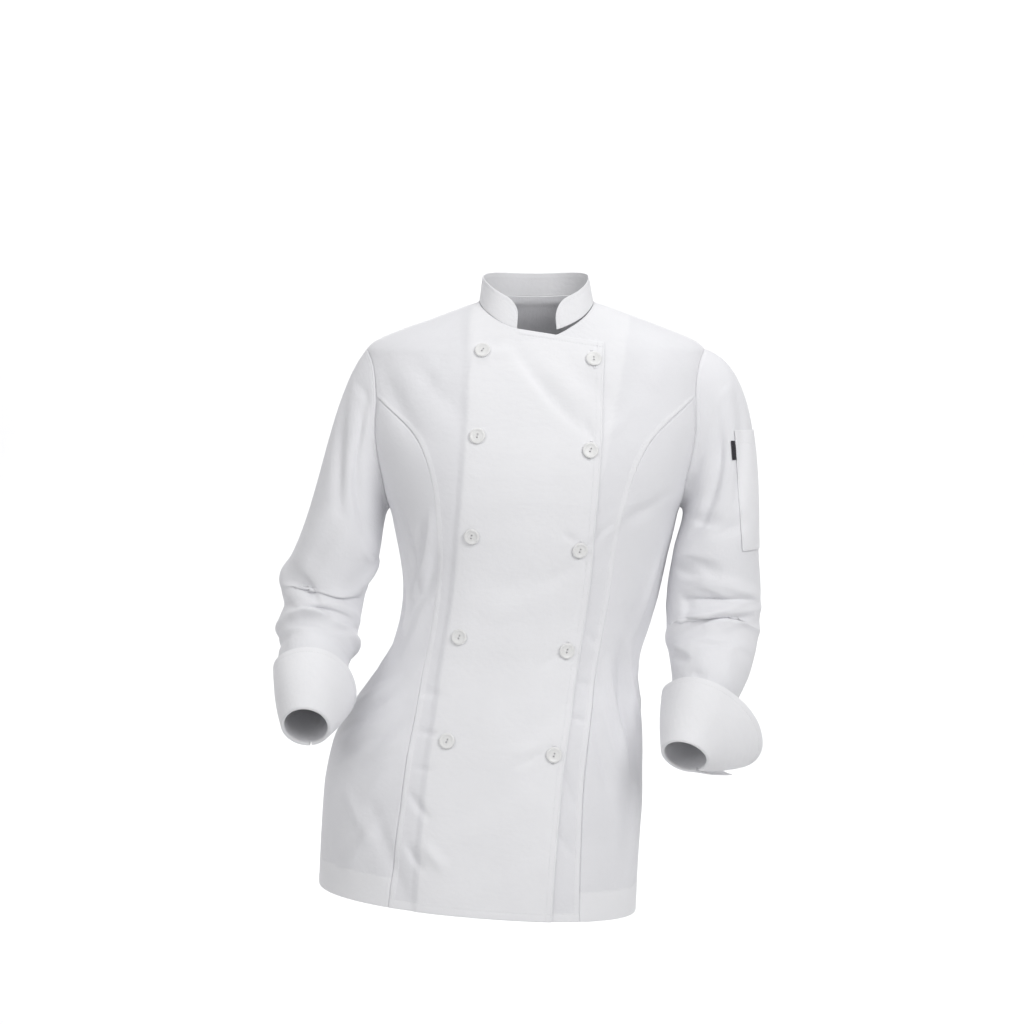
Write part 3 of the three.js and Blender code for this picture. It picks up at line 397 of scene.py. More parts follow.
HIDDEN_SLEEVE_CREASES = {
    "right": [
        (210, 0.2, 268, 0.34, 8, 1.8, 6),
        (300, 0.1, 262, 0.3, 9, -1.8, -6),
        (230, 0.4, 318, 0.46, 5, 2.2, 6, 0.3),
        (222, 0.47, 300, 0.53, 5, -2.6, -5, 0.3),
        (236, 0.55, 332, 0.58, 5, 2.6, 5, 0.3),
        (212, 0.63, 290, 0.68, 4.5, -2.6, 4, 0.3),
        (250, 0.7, 336, 0.72, 5, 2.4, 6, 0.3),
        (208, 0.76, 282, 0.78, 4.5, -2, 3, 0.3),
        (286, 0.8, 330, 0.9, 5, 1.6),
        (226, 0.82, 240, 0.93, 5, -1.6),
        (318, 0.28, 330, 0.42, 9, 1.4),
    ],
    "left": [
        (214, 0.18, 262, 0.36, 8, -1.8, 6),
        (296, 0.42, 250, 0.52, 7, 2, -5, 0.2),
        (228, 0.44, 316, 0.5, 5, -2.4, 5, 0.3),
        (222, 0.54, 306, 0.56, 5, 2.6, -4, 0.3),
        (238, 0.6, 326, 0.65, 5, -2.6, 4, 0.3),
        (216, 0.66, 288, 0.7, 4.5, 2.4, 5, 0.3),
        (256, 0.73, 338, 0.74, 5, -2.2, 4, 0.3),
        (214, 0.78, 270, 0.82, 5, 2, -3, 0.3),
        (292, 0.8, 322, 0.92, 5, 1.5),
        (240, 0.85, 246, 0.95, 5, -1.4),
    ],
}

# Buttons on the overlap, as seen from the front: how far across and how high.
BUTTONS = [
    {"row": 1, "right": (-63, -60), "left": (66, -70)},
    {"row": 2, "right": (-68.5, -158), "left": (61, -174)},
    {"row": 3, "right": (-75, -273), "left": (49, -289)},
    {"row": 4, "right": (-89.5, -392), "left": (34, -408)},
    {"row": 5, "right": (-104, -512), "left": (19, -528)},
]
BUTTON = {"radius": 9.3, "thick": 3.2, "dish": 5.6, "rim": 0.75, "hole": 1.05, "hole_gap": 3.1}
HOLE_SIDES = 16
THREAD_PASS = {"length": 3.6, "radius": 0.26, "apart": 0.32}
BUTTONHOLE = {"length": 21, "slit": 0.8, "bar": 1.5, "pitch": 0.75}

# Heights of the pocket's edges, how far across its front edge lies and how far behind its back one.
POCKET = {
    "top": -153, "bottom": -294, "front_top": 232.5, "front_bottom": 241.5, "back": 36,
    "cloth": 0.9, "stitch": 2, "hem": 15,
}
TAB = {"top": -165, "bottom": -187, "width": 4.0, "cloth": 0.8}

# How high a cuff stands once it is turned back, the radius of its roll and its tilt in degrees; round is
# the millimetres of its weave to a radian.
CUFF = {"height": 77, "roll": 2.2, "tilt": 13, "corner": 16, "bow": 2, "cover": 1.5, "round": 40, "stitch": 6}

# The camera and the studio, in metres and degrees.
CAMERA_AT = (-0.029, -3.0, -0.060)
CAMERA_LOOKS_AT = (-0.029, 0.0, -0.252)
CAMERA_ANGLE = 23.1
FLOOR = -1.45
STUDIO = {"front": -4.5, "back": 2.8, "bend": 1.2, "top": 4.5, "half_width": 6}
LIGHT_SPREAD = 120


def ease(low, high, v):
    t = np.clip((v - low) / (high - low), 0, 1)
    return t * t * (3 - 2 * t)


def lerp(a, b, t):
    return a + (b - a) * t


def unit(v):
    return v / np.maximum(np.linalg.norm(v, axis=-1, keepdims=True), 1e-9)


def body_shape(angle, height):
    """The body's smooth shape. The angle is from the centre front, positive to the wearer's left."""
    angle, height = np.broadcast_arrays(angle, height)
    power = 2 / TORSO["power"](height)
    sine, cosine = np.sin(angle), np.cos(angle)
    across = np.sign(sine) * np.abs(sine) ** power
    ahead = np.sign(cosine) * np.abs(cosine) ** power
    reach = np.where(ahead > 0, TORSO["front"](height), TORSO["back"](height))
    off = TORSO["half"](height) * across + TORSO["shift"](height) * ahead
    x = TORSO["centre"](height) + off
    y = TORSO["spine"](height) - reach * ahead
    return np.stack([x, y, height - TORSO["roll"](height) * off], -1)


def facing(surface, u, v, du, dv):
    """The directions that face out of a surface of two values."""
    along_u = surface(u + du, v) - surface(u - du, v)
    along_v = surface(u, v + dv) - surface(u, v - dv)
    return unit(np.cross(along_u, along_v))


def raised(folds, along, up, along_mm, up_mm, wraps=False):
    """How far folds raise a surface, and how far they draw it along."""
    height = np.zeros(np.shape(along))
    slip = np.zeros(np.shape(along))
    for a0, u0, a1, u1, width, rise, *drawn in folds:
        turn = np.round((along - (a0 + a1) / 2) / 360) * 360 if wraps else 0
        dx, dy = (a1 - a0) * along_mm, (u1 - u0) * up_mm
        px, py = (along - turn - a0) * along_mm, (up - u0) * up_mm
        t = np.clip((px * dx + py * dy) / (dx * dx + dy * dy), 0, 1)
        away = np.hypot(px - t * dx, py - t * dy) / width
        share = np.exp(-away * away) * (0.45 + 0.55 * np.sin(np.pi * t))
        height += rise * share
        if drawn:
            slip += drawn[0] * share
    return height, slip


def creased(x, y, folds):
    """How far creases raise a surface whose points lie at x, y on the creases' own plane, in mm."""
    height = np.zeros(np.shape(x))
    for x0, y0, x1, y1, width, rise, *more in folds:
        bend, steep = (more + [0, 0])[:2]
        dx, dy = x1 - x0, y1 - y0
        long = math.hypot(dx, dy)
        right = np.array([dy, -dx]) / long
        mx, my = (x0 + x1) / 2 + right[0] * bend * 2, (y0 + y1) / 2 + right[1] * bend * 2
        reach = 3 * width + abs(bend) * 2
        near = (x > min(x0, x1) - reach) & (x < max(x0, x1) + reach)
        near &= (y > min(y0, y1) - reach) & (y < max(y0, y1) + reach)
        if not near.any():
            continue
        px, py = x[near], y[near]
        best = np.full(px.shape, 1e9)
        share = np.zeros(px.shape)
        side = np.zeros(px.shape)
        s = np.linspace(0, 1, CREASE_STEPS + 1)
        qx = (1 - s) ** 2 * x0 + 2 * s * (1 - s) * mx + s * s * x1
        qy = (1 - s) ** 2 * y0 + 2 * s * (1 - s) * my + s * s * y1
        for i in range(CREASE_STEPS):
            ex, ey = qx[i + 1] - qx[i], qy[i + 1] - qy[i]
            t = np.clip(((px - qx[i]) * ex + (py - qy[i]) * ey) / (ex * ex + ey * ey), 0, 1)
            ox, oy = px - qx[i] - t * ex, py - qy[i] - t * ey
            away = np.hypot(ox, oy)
            closer = away < best
            best = np.where(closer, away, best)
            share = np.where(closer, (i + t) / CREASE_STEPS, share)
            side = np.where(closer, np.sign(ox * ey - oy * ex), side)
        wide = width * np.where(side > 0, 1 - steep, 1 + steep)
        taper = 0.2 + 0.8 * np.sin(np.pi * share) ** 0.8
        height[near] += rise * taper * np.exp(-((best / wide) ** 2))
    return height


def seen(points):
    """Where the camera sees points, in mm across and up on the plane through the neck."""
    eye = np.array(CAMERA_AT) * 1000
    scale = eye[1] / (eye[1] - points[..., 1])
    return eye[0] + (points[..., 0] - eye[0]) * scale, eye[2] + (points[..., 2] - eye[2]) * scale


def front_creases(points, normals, folds):
    """Creases drawn as the camera sees them, on cloth that faces forward."""
    x, y = seen(points)
    return creased(x, y, folds) * ease(0.05, 0.5, -normals[..., 1])


def hidden_creases(degrees, height, folds, along_mm, up_mm=1.0, wraps=True):
    """Creases drawn on the piece itself, in degrees round it and heights or shares of its length."""
    scaled = []
    for a0, u0, a1, u1, *rest in folds:
        scaled.append((a0 * along_mm, u0 * up_mm, a1 * along_mm, u1 * up_mm, *rest))
    if not wraps:
        return creased(degrees * along_mm, height * up_mm, scaled)
    total = np.zeros(np.shape(degrees))
    for turn in (-360, 0, 360):
        total += creased((degrees + turn) * along_mm, height * up_mm, scaled)
    return total


def on_body(angle, height, lift=0.0, creases=True):
    """Places on the body's cloth: points, moved out by lift, and the directions that face out."""
    angle, height = np.broadcast_arrays(angle, height)
    normal = facing(body_shape, angle, height, math.radians(0.4), 0.5)
    degrees = np.degrees(np.arctan2(np.sin(angle), np.cos(angle)))
    fold = raised(BODY_FOLDS, degrees, height, BODY_MM_PER_DEGREE, 1)[0]
    point = body_shape(angle, height) + normal * fold[..., None]
    if creases:
        fine = front_creases(point, normal, FRONT_CREASES) * CREASE_DEPTH
        fine += hidden_creases(degrees, height, HIDDEN_CREASES, BODY_MM_PER_DEGREE) * HIDDEN_DEPTH
        fine *= ease(-20, -60, height)  # they fade out under the collar
        point = point + normal * fine[..., None]
    return point + normal * np.asarray(lift)[..., None], normal


def angle_across(off, height, back=False):
    """The angle at which the body lies that far to one side of its middle."""
    share = np.clip(np.abs(off) / TORSO["half"](height), 0, 1)
    angle = np.arcsin(share ** (TORSO["power"](height) / 2))
    return np.where(off < 0, -1, 1) * (np.pi - angle if back else angle)


def angle_behind(behind, height, sign):
    """The angle at which the body lies that far behind its spine line."""
    reach = np.where(behind < 0, TORSO["front"](height), TORSO["back"](height))
    angle = np.arccos(np.clip(np.abs(behind) / reach, 0, 1) ** (TORSO["power"](height) / 2))
    return sign * np.where(behind < 0, angle, np.pi - angle)


def off_at(angle, height):
    """How far the body lies to one side of its middle at an angle."""
    return TORSO["half"](height) * np.abs(np.sin(angle)) ** (2 / TORSO["power"](height))


def armhole(turn, sign, grow=0.0):
    """The armhole: turn is 0 at the shoulder, 90 degrees at the front and 180 in the armpit."""
    height = ARMHOLE["height"] + (ARMHOLE["rise"] + grow) * np.cos(turn)
    behind = ARMHOLE["spine"] - (ARMHOLE["ahead"] + grow) * np.sin(turn) - TORSO["spine"](height)
    return angle_behind(behind, height, sign), height


def neckline(turn):
    """The collar's seam: turn is 0 at the centre front and 180 degrees at the nape."""
    depth = np.where(np.cos(turn) > 0, NECK["front"], NECK["back"])
    behind = -depth * np.cos(turn)
    height = NECK["slope"] * behind - NECK["curve"] * behind * behind
    off = NECK["half_width"] * np.sin(turn)
    front, back = angle_across(off, height), angle_across(off, height, True)
    return np.where(np.cos(turn) < 0, back, front), height, off


def solve(low, high, f):
    """Where a rising function crosses zero."""
    for _ in range(40):
        middle = (low + high) / 2
        low, high = (middle, high) if f(middle) < 0 else (low, middle)
    return (low + high) / 2


def neck_turn_at(forward):
    """The neckline's turn where it is that far in front of the spine line."""
    def ahead(turn):
        angle, height, _ = neckline(turn)
        return body_shape(angle, height)[1] - TORSO["spine"](height) + forward

    return solve(math.radians(50), math.radians(120), ahead)


def armhole_turn_at(forward, grow):
    """The armhole's turn near its top where it is that far in front of the spine line."""
    def ahead(turn):
        height = ARMHOLE["height"] + (ARMHOLE["rise"] + grow) * math.cos(turn)
        reach = (ARMHOLE["ahead"] + grow) * math.sin(turn)
        return reach + TORSO["spine"](height) - ARMHOLE["spine"] - forward

    return solve(math.radians(-60), math.radians(60), ahead)


NECK_TURN_AT_END = math.asin(COLLAR_END / NECK["half_width"])
TURN_AT_PRINCESS = math.acos((PRINCESS_TOP - ARMHOLE["height"]) / (ARMHOLE["rise"] + SEAM_HALF))


def turn_at_princess(back):
    return 2 * math.pi - TURN_AT_PRINCESS if back else TURN_AT_PRINCESS


def line_off(height, back):
    """The princess line's distance from the middle, led to the armhole's edge at its top."""
    meeting = off_at(armhole(turn_at_princess(back), 1, SEAM_HALF)[0], PRINCESS_TOP)
    shift = meeting - PRINCESS["off"](PRINCESS_TOP)
    return PRINCESS["off"](height) + shift * ease(PRINCESS_TOP - 48, PRINCESS_TOP, height)


def pair(a, b):
    return np.stack(np.broadcast_arrays(a, b), -1)


def between(bottom, top, start, end, us, vs, hold=1, rise=1):
    """A grid of places between four edges, by transfinite interpolation.

    Above 1, hold keeps the start's shape near the start, and rise keeps the top's shape near the top.
    """
    from_start, up = (1 - us[None, :, None]) ** hold, vs[:, None, None] ** rise
    edges = (1 - up) * bottom(us)[None] + up * top(us)[None]
    edges = edges + from_start * start(vs)[:, None] + (1 - from_start) * end(vs)[:, None]
    zero, one = np.array(0.0), np.array(1.0)
    low = from_start * bottom(zero) + (1 - from_start) * bottom(one)
    high = from_start * top(zero) + (1 - from_start) * top(one)
    return edges - (1 - up) * low - up * high


def piecewise(stops, parts):
    """One edge made of several, each between two stops."""
    def at(t):
        t = np.asarray(t, float)
        made = np.zeros(t.shape + (2,))
        for i, part in enumerate(parts):
            local = np.clip((t - stops[i]) / (stops[i + 1] - stops[i]), 0, 1)
            inside = (t > stops[i]) | (i == 0)
            made = np.where(inside[..., None], part(local), made)
        return made

    return at


def spaced(long, spacing, near_start=(), near_end=()):
    """Shares of a length at about even spacing, with more near both ends where edges have detail."""
    start = np.array(near_start, float)
    end = long - np.array(near_end, float)[::-1]
    low = start[-1] if len(start) else 0.0
    high = end[0] if len(end) else long
    count = max(2, int(round((high - low) / spacing)))
    inner = np.linspace(low, high, count + 1)
    return np.unique(np.concatenate([start, inner, end])) / long


# About how long an edge is, in mm, which sets how many points a grid has along it.
RUN = {
    "armhole": 95, "below_shoulder": 90, "to_front_edge": 135, "side": 150, "shoulder": 130,
    "between_darts": 250, "collar": 400, "cuff": 250, "pocket": 92,
}
# Distances from an edge at which a grid has points, so that the band and its stitching come out crisp.
EDGE_ROWS = [0, 0.7, 1.4, 2.4, 4, 5.4, 5.9, 6.4, 6.9, 7.4, 8, 9.4, 11.5]
FREE_ROWS = [0, 0.6, 1.4, 3, 5, 7, 7.9, 8.5, 9.1, 10, 12]
HEM_ROWS = [0, 0.6, 1.4, 3, 6, 8.6, 9.4, 10, 10.6, 11.6, 14]
SIDE_HEM_ROWS = [0, 0.6, 1.4, 3, 6, 9, 12, 15, 18, 21, 24, 27, 30, 33, 34.2, 35, 35.8, 37, 39.5]
TOP_ROWS = [0, 0.8, 1.6, 2.2, 2.8, 3.4, 4.2, 5.6, 6.2, 6.8, 7.6, 9]


def grid_normals(points):
    """Directions square to a grid, from its points' differences."""
    along = np.gradient(points, axis=1)
    up = np.gradient(points, axis=0)
    return unit(np.cross(along, up))


def oriented(normals, like):
    """Directions turned round where they point against others."""
    flip = np.sign(np.sum(normals * like, -1, keepdims=True))
    return normals * np.where(flip == 0, 1, flip)


def arcs(points, axis):
    """Distance along the grid from its first row or column."""
    step = np.linalg.norm(np.diff(points, axis=axis), axis=-1)
    total = np.cumsum(step, axis=axis)
    return np.concatenate([np.zeros_like(np.take(total, [0], axis)), total], axis)


def bump(v, at, width):
    return np.exp(-(((v - at) / width) ** 2))


def puckers(along, seed):
    """Uneven small waves along a stitched seam."""
    rng = np.random.default_rng(seed)
    waves = np.zeros(np.shape(along))
    for _ in range(6):
        length = rng.uniform(9, 27)
        waves += np.sin(2 * np.pi * (along / length + rng.uniform())) * rng.uniform(0.4, 1)
    drift = 0.55 + 0.45 * np.sin(along / rng.uniform(40, 70) + rng.uniform(0, 6))
    return waves / 3 * drift


def edge_relief(away, along, band, seed, raise_by=BAND_RAISE):
    """A doubled band along an edge: raised, with its stitching sunk in and puckered."""
    flat = raise_by * ease(band + 0.9, band - 0.5, away)
    groove = -GROOVE["depth"] * bump(away, band - SINK, GROOVE["width"])
    wave = PUCKER["height"] * puckers(along, seed) * bump(away, band - SINK, PUCKER["width"])
    roll = -0.45 * bump(away, 0, 0.7)
    return flat + groove + wave + roll


class Grid:
    """A sheet of points with the directions that face out, and the tone and weave place of each."""

    def __init__(self, points, normals, tone=None, weave=None):
        self.points = points
        self.normals = normals
        self.tone = np.zeros(points.shape[:2]) if tone is None else tone
        self.weave = weave

    def edges(self):
        """Each point's distance from the first column, the last column, the first row and the last row."""
        along, up = arcs(self.points, 1), arcs(self.points, 0)
        return along, along[:, -1:] - along, up, up[-1:] - up

    def raise_by(self, height):
        self.points = self.points + self.normals * height[..., None]

    def relieve(self, height):
        """Raises the points, and turns the directions to suit the new shape."""
        before = self.normals
        self.raise_by(height)
        self.normals = oriented(grid_normals(self.points), before)

    def line(self, away, axis, distance, first=0, last=None):
        """The points and normals of the line that runs at a distance from an edge of the grid."""
        rows = range(self.points.shape[1 - axis])[first:last]
        made, out = [], []
        for i in rows:
            a = np.take(away, i, 1 - axis)
            p = np.take(self.points, i, 1 - axis)
            n = np.take(self.normals, i, 1 - axis)
            if a[0] > a[-1]:
                a, p, n = a[::-1], p[::-1], n[::-1]
            if distance > a[-1] - 0.2 or distance < a[0]:
                continue
            made.append([np.interp(distance, a, p[:, k]) for k in range(3)])
            out.append([np.interp(distance, a, n[:, k]) for k in range(3)])
        return np.array(made), unit(np.array(out))


collection = bpy.context.scene.collection


def add_mesh(name, points, faces, material, tone=None, weave=None):
    mesh = bpy.data.meshes.new(name)
    mesh.from_pydata((np.asarray(points) / 1000).tolist(), [], faces)
    mesh.polygons.foreach_set("use_smooth", [True] * len(mesh.polygons))
    if tone is not None:
        tones = mesh.attributes.new("tone", "FLOAT", "POINT").data
        tones.foreach_set("value", np.asarray(tone, np.float32))
    if weave is not None:
        place = np.zeros((len(points), 3), np.float32)
        place[:, :2] = weave
        places = mesh.attributes.new("weave", "FLOAT_VECTOR", "POINT").data
        places.foreach_set("vector", place.ravel())
    mesh.materials.append(material)
    mesh.update()
    made = bpy.data.objects.new(name, mesh)
    collection.objects.link(made)
    return made


def wall(name, grids, cloth, material):
    """A closed wall of cloth from grids that meet at equal points, with rounded rims."""
    points = np.concatenate([g.points.reshape(-1, 3) for g in grids])
    normals = np.concatenate([g.normals.reshape(-1, 3) for g in grids])
    tone = np.concatenate([g.tone.ravel() for g in grids])
    weave = np.concatenate([g.weave.reshape(-1, 2) for g in grids])
    keys = np.round(points * 100).astype(np.int64)
    _, first, back = np.unique(keys, axis=0, return_index=True, return_inverse=True)
    back = back.ravel()
    points, normals, tone, weave = points[first], normals[first], tone[first], weave[first]
    quads, start = [], 0
    for g in grids:
        rows, columns = g.points.shape[:2]
        ids = back[start:start + rows * columns].reshape(rows, columns)
        start += rows * columns
        quad = np.stack([ids[:-1, :-1], ids[:-1, 1:], ids[1:, 1:], ids[1:, :-1]], -1).reshape(-1, 4)
        across = points[quad[:, 2]] - points[quad[:, 0]]
        down = points[quad[:, 3]] - points[quad[:, 1]]
        facing_in = np.sum(np.cross(across, down) * normals[quad[:, 0]]) < 0
        quads.append(quad[:, ::-1] if facing_in else quad)
    quads = np.concatenate(quads)
    across = points[quads[:, 2]] - points[quads[:, 0]]
    down = points[quads[:, 3]] - points[quads[:, 1]]
    face = np.cross(across, down)
    same = (quads == np.roll(quads, -1, 1)).sum(1)
    quads, face, same = quads[same < 2], face[same < 2], same[same < 2]
    smooth = np.zeros_like(points)
    for k in range(4):
        np.add.at(smooth, quads[:, k], face)
    out = unit(smooth)
    count = len(points)
    edges = np.concatenate([quads[:, [k, (k + 1) % 4]] for k in range(4)])
    edges = edges[edges[:, 0] != edges[:, 1]]
    code = edges[:, 0] * count + edges[:, 1]
    rims = edges[~np.isin(code, edges[:, 1] * count + edges[:, 0])]
    leave = np.cross(unit(points[rims[:, 1]] - points[rims[:, 0]]), out[rims[:, 0]])
    away = np.zeros_like(points)
    np.add.at(away, rims[:, 0], leave)
    np.add.at(away, rims[:, 1], leave)
    edge_ids = np.unique(rims)
    middle_of = np.zeros(count, np.int64)
    middle_of[edge_ids] = 2 * count + np.arange(len(edge_ids))
    middle = points[edge_ids] - out[edge_ids] * cloth / 2 + unit(away[edge_ids]) * RIM
    whole = np.concatenate([points, points - out * cloth, middle])
    a, b = rims[:, 0], rims[:, 1]
    ma, mb = middle_of[a], middle_of[b]
    strips = np.concatenate([np.stack([b, a, ma, mb], -1), np.stack([mb, ma, a + count, b + count], -1)])
    faces = []
    for quad, doubled in zip(quads.tolist(), same.tolist()):
        corners = [v for i, v in enumerate(quad) if v != quad[i - 1]] if doubled else quad
        faces.append(corners)
    inner = [[v + count for v in reversed(f)] for f in faces]
    return add_mesh(
        name, whole, faces + inner + strips.tolist(), material,
        np.concatenate([tone, tone, tone[edge_ids]]), np.concatenate([weave, weave, weave[edge_ids]]),
    )


# Thread. Each stitch is a short rounded bar that lies along its line, half sunk in the cloth.
stitch_parts = []


def bars(centres, along, normals, length, radius):
    """Rounded bars as one block of points and faces."""
    sides = 5
    across = unit(np.cross(normals, along))
    rings = [(-0.5, 0.35), (-0.36, 1), (0.36, 1), (0.5, 0.35)]
    angle = np.arange(sides) * 2 * math.pi / sides
    template = np.array([
        (s * length, math.cos(a) * r * radius, math.sin(a) * r * radius) for s, r in rings for a in angle
    ])
    basis = np.stack([along, across, normals], 1)
    points = centres[:, None, :] + np.einsum("vk,nkd->nvd", template, basis)
    faces = []
    for ring in range(len(rings) - 1):
        for i in range(sides):
            j = (i + 1) % sides
            a, b = ring * sides, (ring + 1) * sides
            faces.append([a + i, a + j, b + j, b + i])
    ends = [list(range(sides))[::-1], list(range(len(template) - sides, len(template)))]
    return points, faces, ends


def stitch(line, normals):
    """Lays stitches along a line on the cloth."""
    if len(line) < 2:
        return
    run = np.concatenate([[0], np.cumsum(np.linalg.norm(np.diff(line, axis=0), axis=1))])
    count = int(run[-1] // STITCH["pitch"])
    if count < 1:
        return
    at = (np.arange(count) + 0.5) * run[-1] / count

    def place(s, values):
        return np.stack([np.interp(s, run, values[:, k]) for k in range(3)], -1)

    out = unit(place(at, normals))
    half = STITCH["length"] / 2
    along = unit(place(at + half, line) - place(at - half, line))
    out = unit(out - along * np.sum(out * along, -1, keepdims=True))
    centres = place(at, line) + out * STITCH["lift"]
    stitch_parts.append(bars(centres, along, out, STITCH["length"], STITCH["radius"]))


def thread_mesh(name, parts, material):
    points, faces, start = [], [], 0
    for block, sides, ends in parts:
        count = block.shape[1]
        for i in range(len(block)):
            base = start + i * count
            faces += [[base + v for v in f] for f in sides + ends]
        points.append(block.reshape(-1, 3))
        start += len(block) * count
    return add_mesh(name, np.concatenate(points), faces, material)


def feed(node, inputs):
    """Sets a node's inputs to values, or links them to other nodes' outputs."""
    for key, value in inputs.items():
        if isinstance(value, bpy.types.NodeSocket):
            node.id_data.links.new(value, node.inputs[key])
        else:
            node.inputs[key].default_value = value


def new_material(name):
    """A material, its shader and a function that adds a node to it and gives the node's output."""
    material = bpy.data.materials.new(name)
    material.use_nodes = True
    tree = material.node_tree

    def add(kind, output, inputs=None, **settings):
        node = tree.nodes.new("ShaderNode" + kind)
        for key, value in settings.items():
            setattr(node, key, value)
        feed(node, inputs or {})
        return node.outputs[output]

    return material, tree.nodes["Principled BSDF"], add


def cloth_material(name, single, doubled, twill_mm=0.85, depth=0.00012):
    """Matte poly-cotton twill: whiter where it is doubled, with its diagonal rib and a soft unevenness."""
    material, shader, add = new_material(name)
    tone = add("Attribute", "Fac", attribute_name="tone")
    weave = add("Attribute", "Vector", attribute_name="weave")
    place = add("TexCoord", "Object")
    mottle = add("TexNoise", "Fac", {"Scale": 9.0, "Detail": 5.0, "Vector": place})
    base = add("Mix", "Result", {"A": (*single, 1), "B": (*doubled, 1), "Factor": tone}, data_type="RGBA")
    shade = add("MapRange", "Result", {
        "From Min": 0.3, "From Max": 0.7, "To Min": 0.965, "To Max": 1.02, "Value": mottle,
    })
    shaded = {"Factor": 1.0, "A": base, "B": shade}
    tint = add("Mix", "Result", shaded, data_type="RGBA", blend_type="MULTIPLY")
    turn = add("Mapping", "Vector", {"Rotation": (0, 0, math.radians(27)), "Vector": weave})
    rib = add("TexWave", "Fac", {
        "Scale": 2 * math.pi / twill_mm / 20, "Distortion": 0.6, "Detail": 1.0, "Vector": turn,
    })
    slub = add("TexNoise", "Fac", {"Scale": 0.16, "Detail": 4.0, "Vector": weave})
    ribbed = add("Bump", "Normal", {"Strength": 0.35, "Distance": depth, "Height": rib})
    uneven = add("Bump", "Normal", {"Strength": 0.3, "Distance": 0.0016, "Height": slub, "Normal": ribbed})
    rough = add("MapRange", "Result", {"To Min": 0.78, "To Max": 0.92, "Value": rib})
    feed(shader, {
        "Base Color": tint, "Normal": uneven, "Roughness": rough,
        "Specular IOR Level": 0.22, "Sheen Weight": 0.12, "Sheen Roughness": 0.45,
    })
    return material


def thread_material():
    material, shader, add = new_material("thread")
    twist = add("TexNoise", "Fac", {"Scale": 900.0, "Vector": add("TexCoord", "Object")})
    ends = {"A": (0.80, 0.80, 0.82, 1), "B": (0.90, 0.90, 0.92, 1), "Factor": twist}
    feed(shader, {"Base Color": add("Mix", "Result", ends, data_type="RGBA"), "Roughness": 0.55})
    return material


def button_material():
    """White pressed plastic with a faint cloudiness and fine wear."""
    material, shader, add = new_material("button_plastic")
    cloud = add("TexNoise", "Fac", {"Scale": 160.0, "Detail": 3.0, "Vector": add("TexCoord", "Object")})
    ends = {"A": (0.76, 0.76, 0.76, 1), "B": (0.84, 0.84, 0.83, 1), "Factor": cloud}
    feed(shader, {
        "Base Color": add("Mix", "Result", ends, data_type="RGBA"),
        "Roughness": add("MapRange", "Result", {"To Min": 0.26, "To Max": 0.42, "Value": cloud}),
        "Normal": add("Bump", "Normal", {"Strength": 0.15, "Distance": 0.0002, "Height": cloud}),
        "IOR": 1.5,
    })
    return material


WHITE = cloth_material("white_twill", (0.81, 0.81, 0.835), (0.865, 0.865, 0.885))
TAPE = cloth_material("dark_tape", (0.03, 0.028, 0.034), (0.045, 0.042, 0.05), 1.1, 0.0003)
THREAD = thread_material()
PLASTIC = button_material()


def weave_of(angle, height):
    """The place in the cloth's own weave, in mm, which runs on round the back."""
    degrees = np.degrees(angle)
    if np.max(np.abs(degrees)) > REACHES_BACK:
        degrees = degrees % 360
    return np.stack(np.broadcast_arrays(degrees * BODY_MM_PER_DEGREE, height), -1)


def right_lift(off, height):
    """How far the right front stands out over the left one."""
    return LAP_LIFT * ease(-LAP_EDGE - 8, -LAP_EDGE - 1, off) * ease(-5, -30, height)


# Shares of a front's or the back's edges: up to the princess line's top, and along the top edge.
ARMHOLE_SHARE = 0.8
SHOULDER_SHARE = 0.3
NECK_SHARE = 0.48
BACK_SHOULDER = 0.36
REACHES_BACK = 107  # a piece that reaches further round counts its degrees from 0 to 360
BACK_HEM_SEED = 33
BACK_ROUND = 150  # millimetres of hem to a radian
DART_BAND = 2.2
DART_TOP = -235
SEAM_TONE = 0.65
TOP_STITCH = 6.5  # from the overlap's upper edge to its stitching


def panel_side(sign, back, inset, forward):
    """A centre panel's edge: up the princess line, then round the armhole to the shoulder."""
    first = turn_at_princess(back)
    last = armhole_turn_at(forward, SEAM_HALF) + (2 * math.pi if back else 0)

    def princess(t):
        height = lerp(HEM, PRINCESS_TOP, t)
        return pair(sign * (line_off(height, back) - inset), height)

    def round_arm(t):
        angle, height = armhole(lerp(first, last, t), sign, SEAM_HALF)
        return pair(sign * (off_at(angle, height) - inset * (1 - t)), height)

    return piecewise([0, ARMHOLE_SHARE, 1], [princess, round_arm])


def shoulder_line(sign, forward):
    """A line from the shoulder tip to the neck, that far in front of the spine line."""
    neck_height = neckline(neck_turn_at(forward))[1]
    tip_height = armhole(armhole_turn_at(forward, SEAM_HALF), sign, SEAM_HALF)[1]

    def at(t):
        height = lerp(tip_height, neck_height, t)
        return angle_behind(-forward, height, sign), height

    return at


def across_shoulder(sign, forward):
    """The same line as places across and up."""
    line = shoulder_line(sign, forward)

    def at(t):
        angle, height = line(t)
        return pair(sign * off_at(angle, height), height)

    return at


def rows_up(spacing, hem_rows, top_rows=()):
    """Shares of the way up a panel: to the princess line's top, then beside the armhole."""
    low = spaced(PRINCESS_TOP - HEM, spacing, hem_rows) * ARMHOLE_SHARE
    high = lerp(ARMHOLE_SHARE, 1, spaced(RUN["armhole"], spacing, (), top_rows))
    return np.concatenate([low, high[1:]])


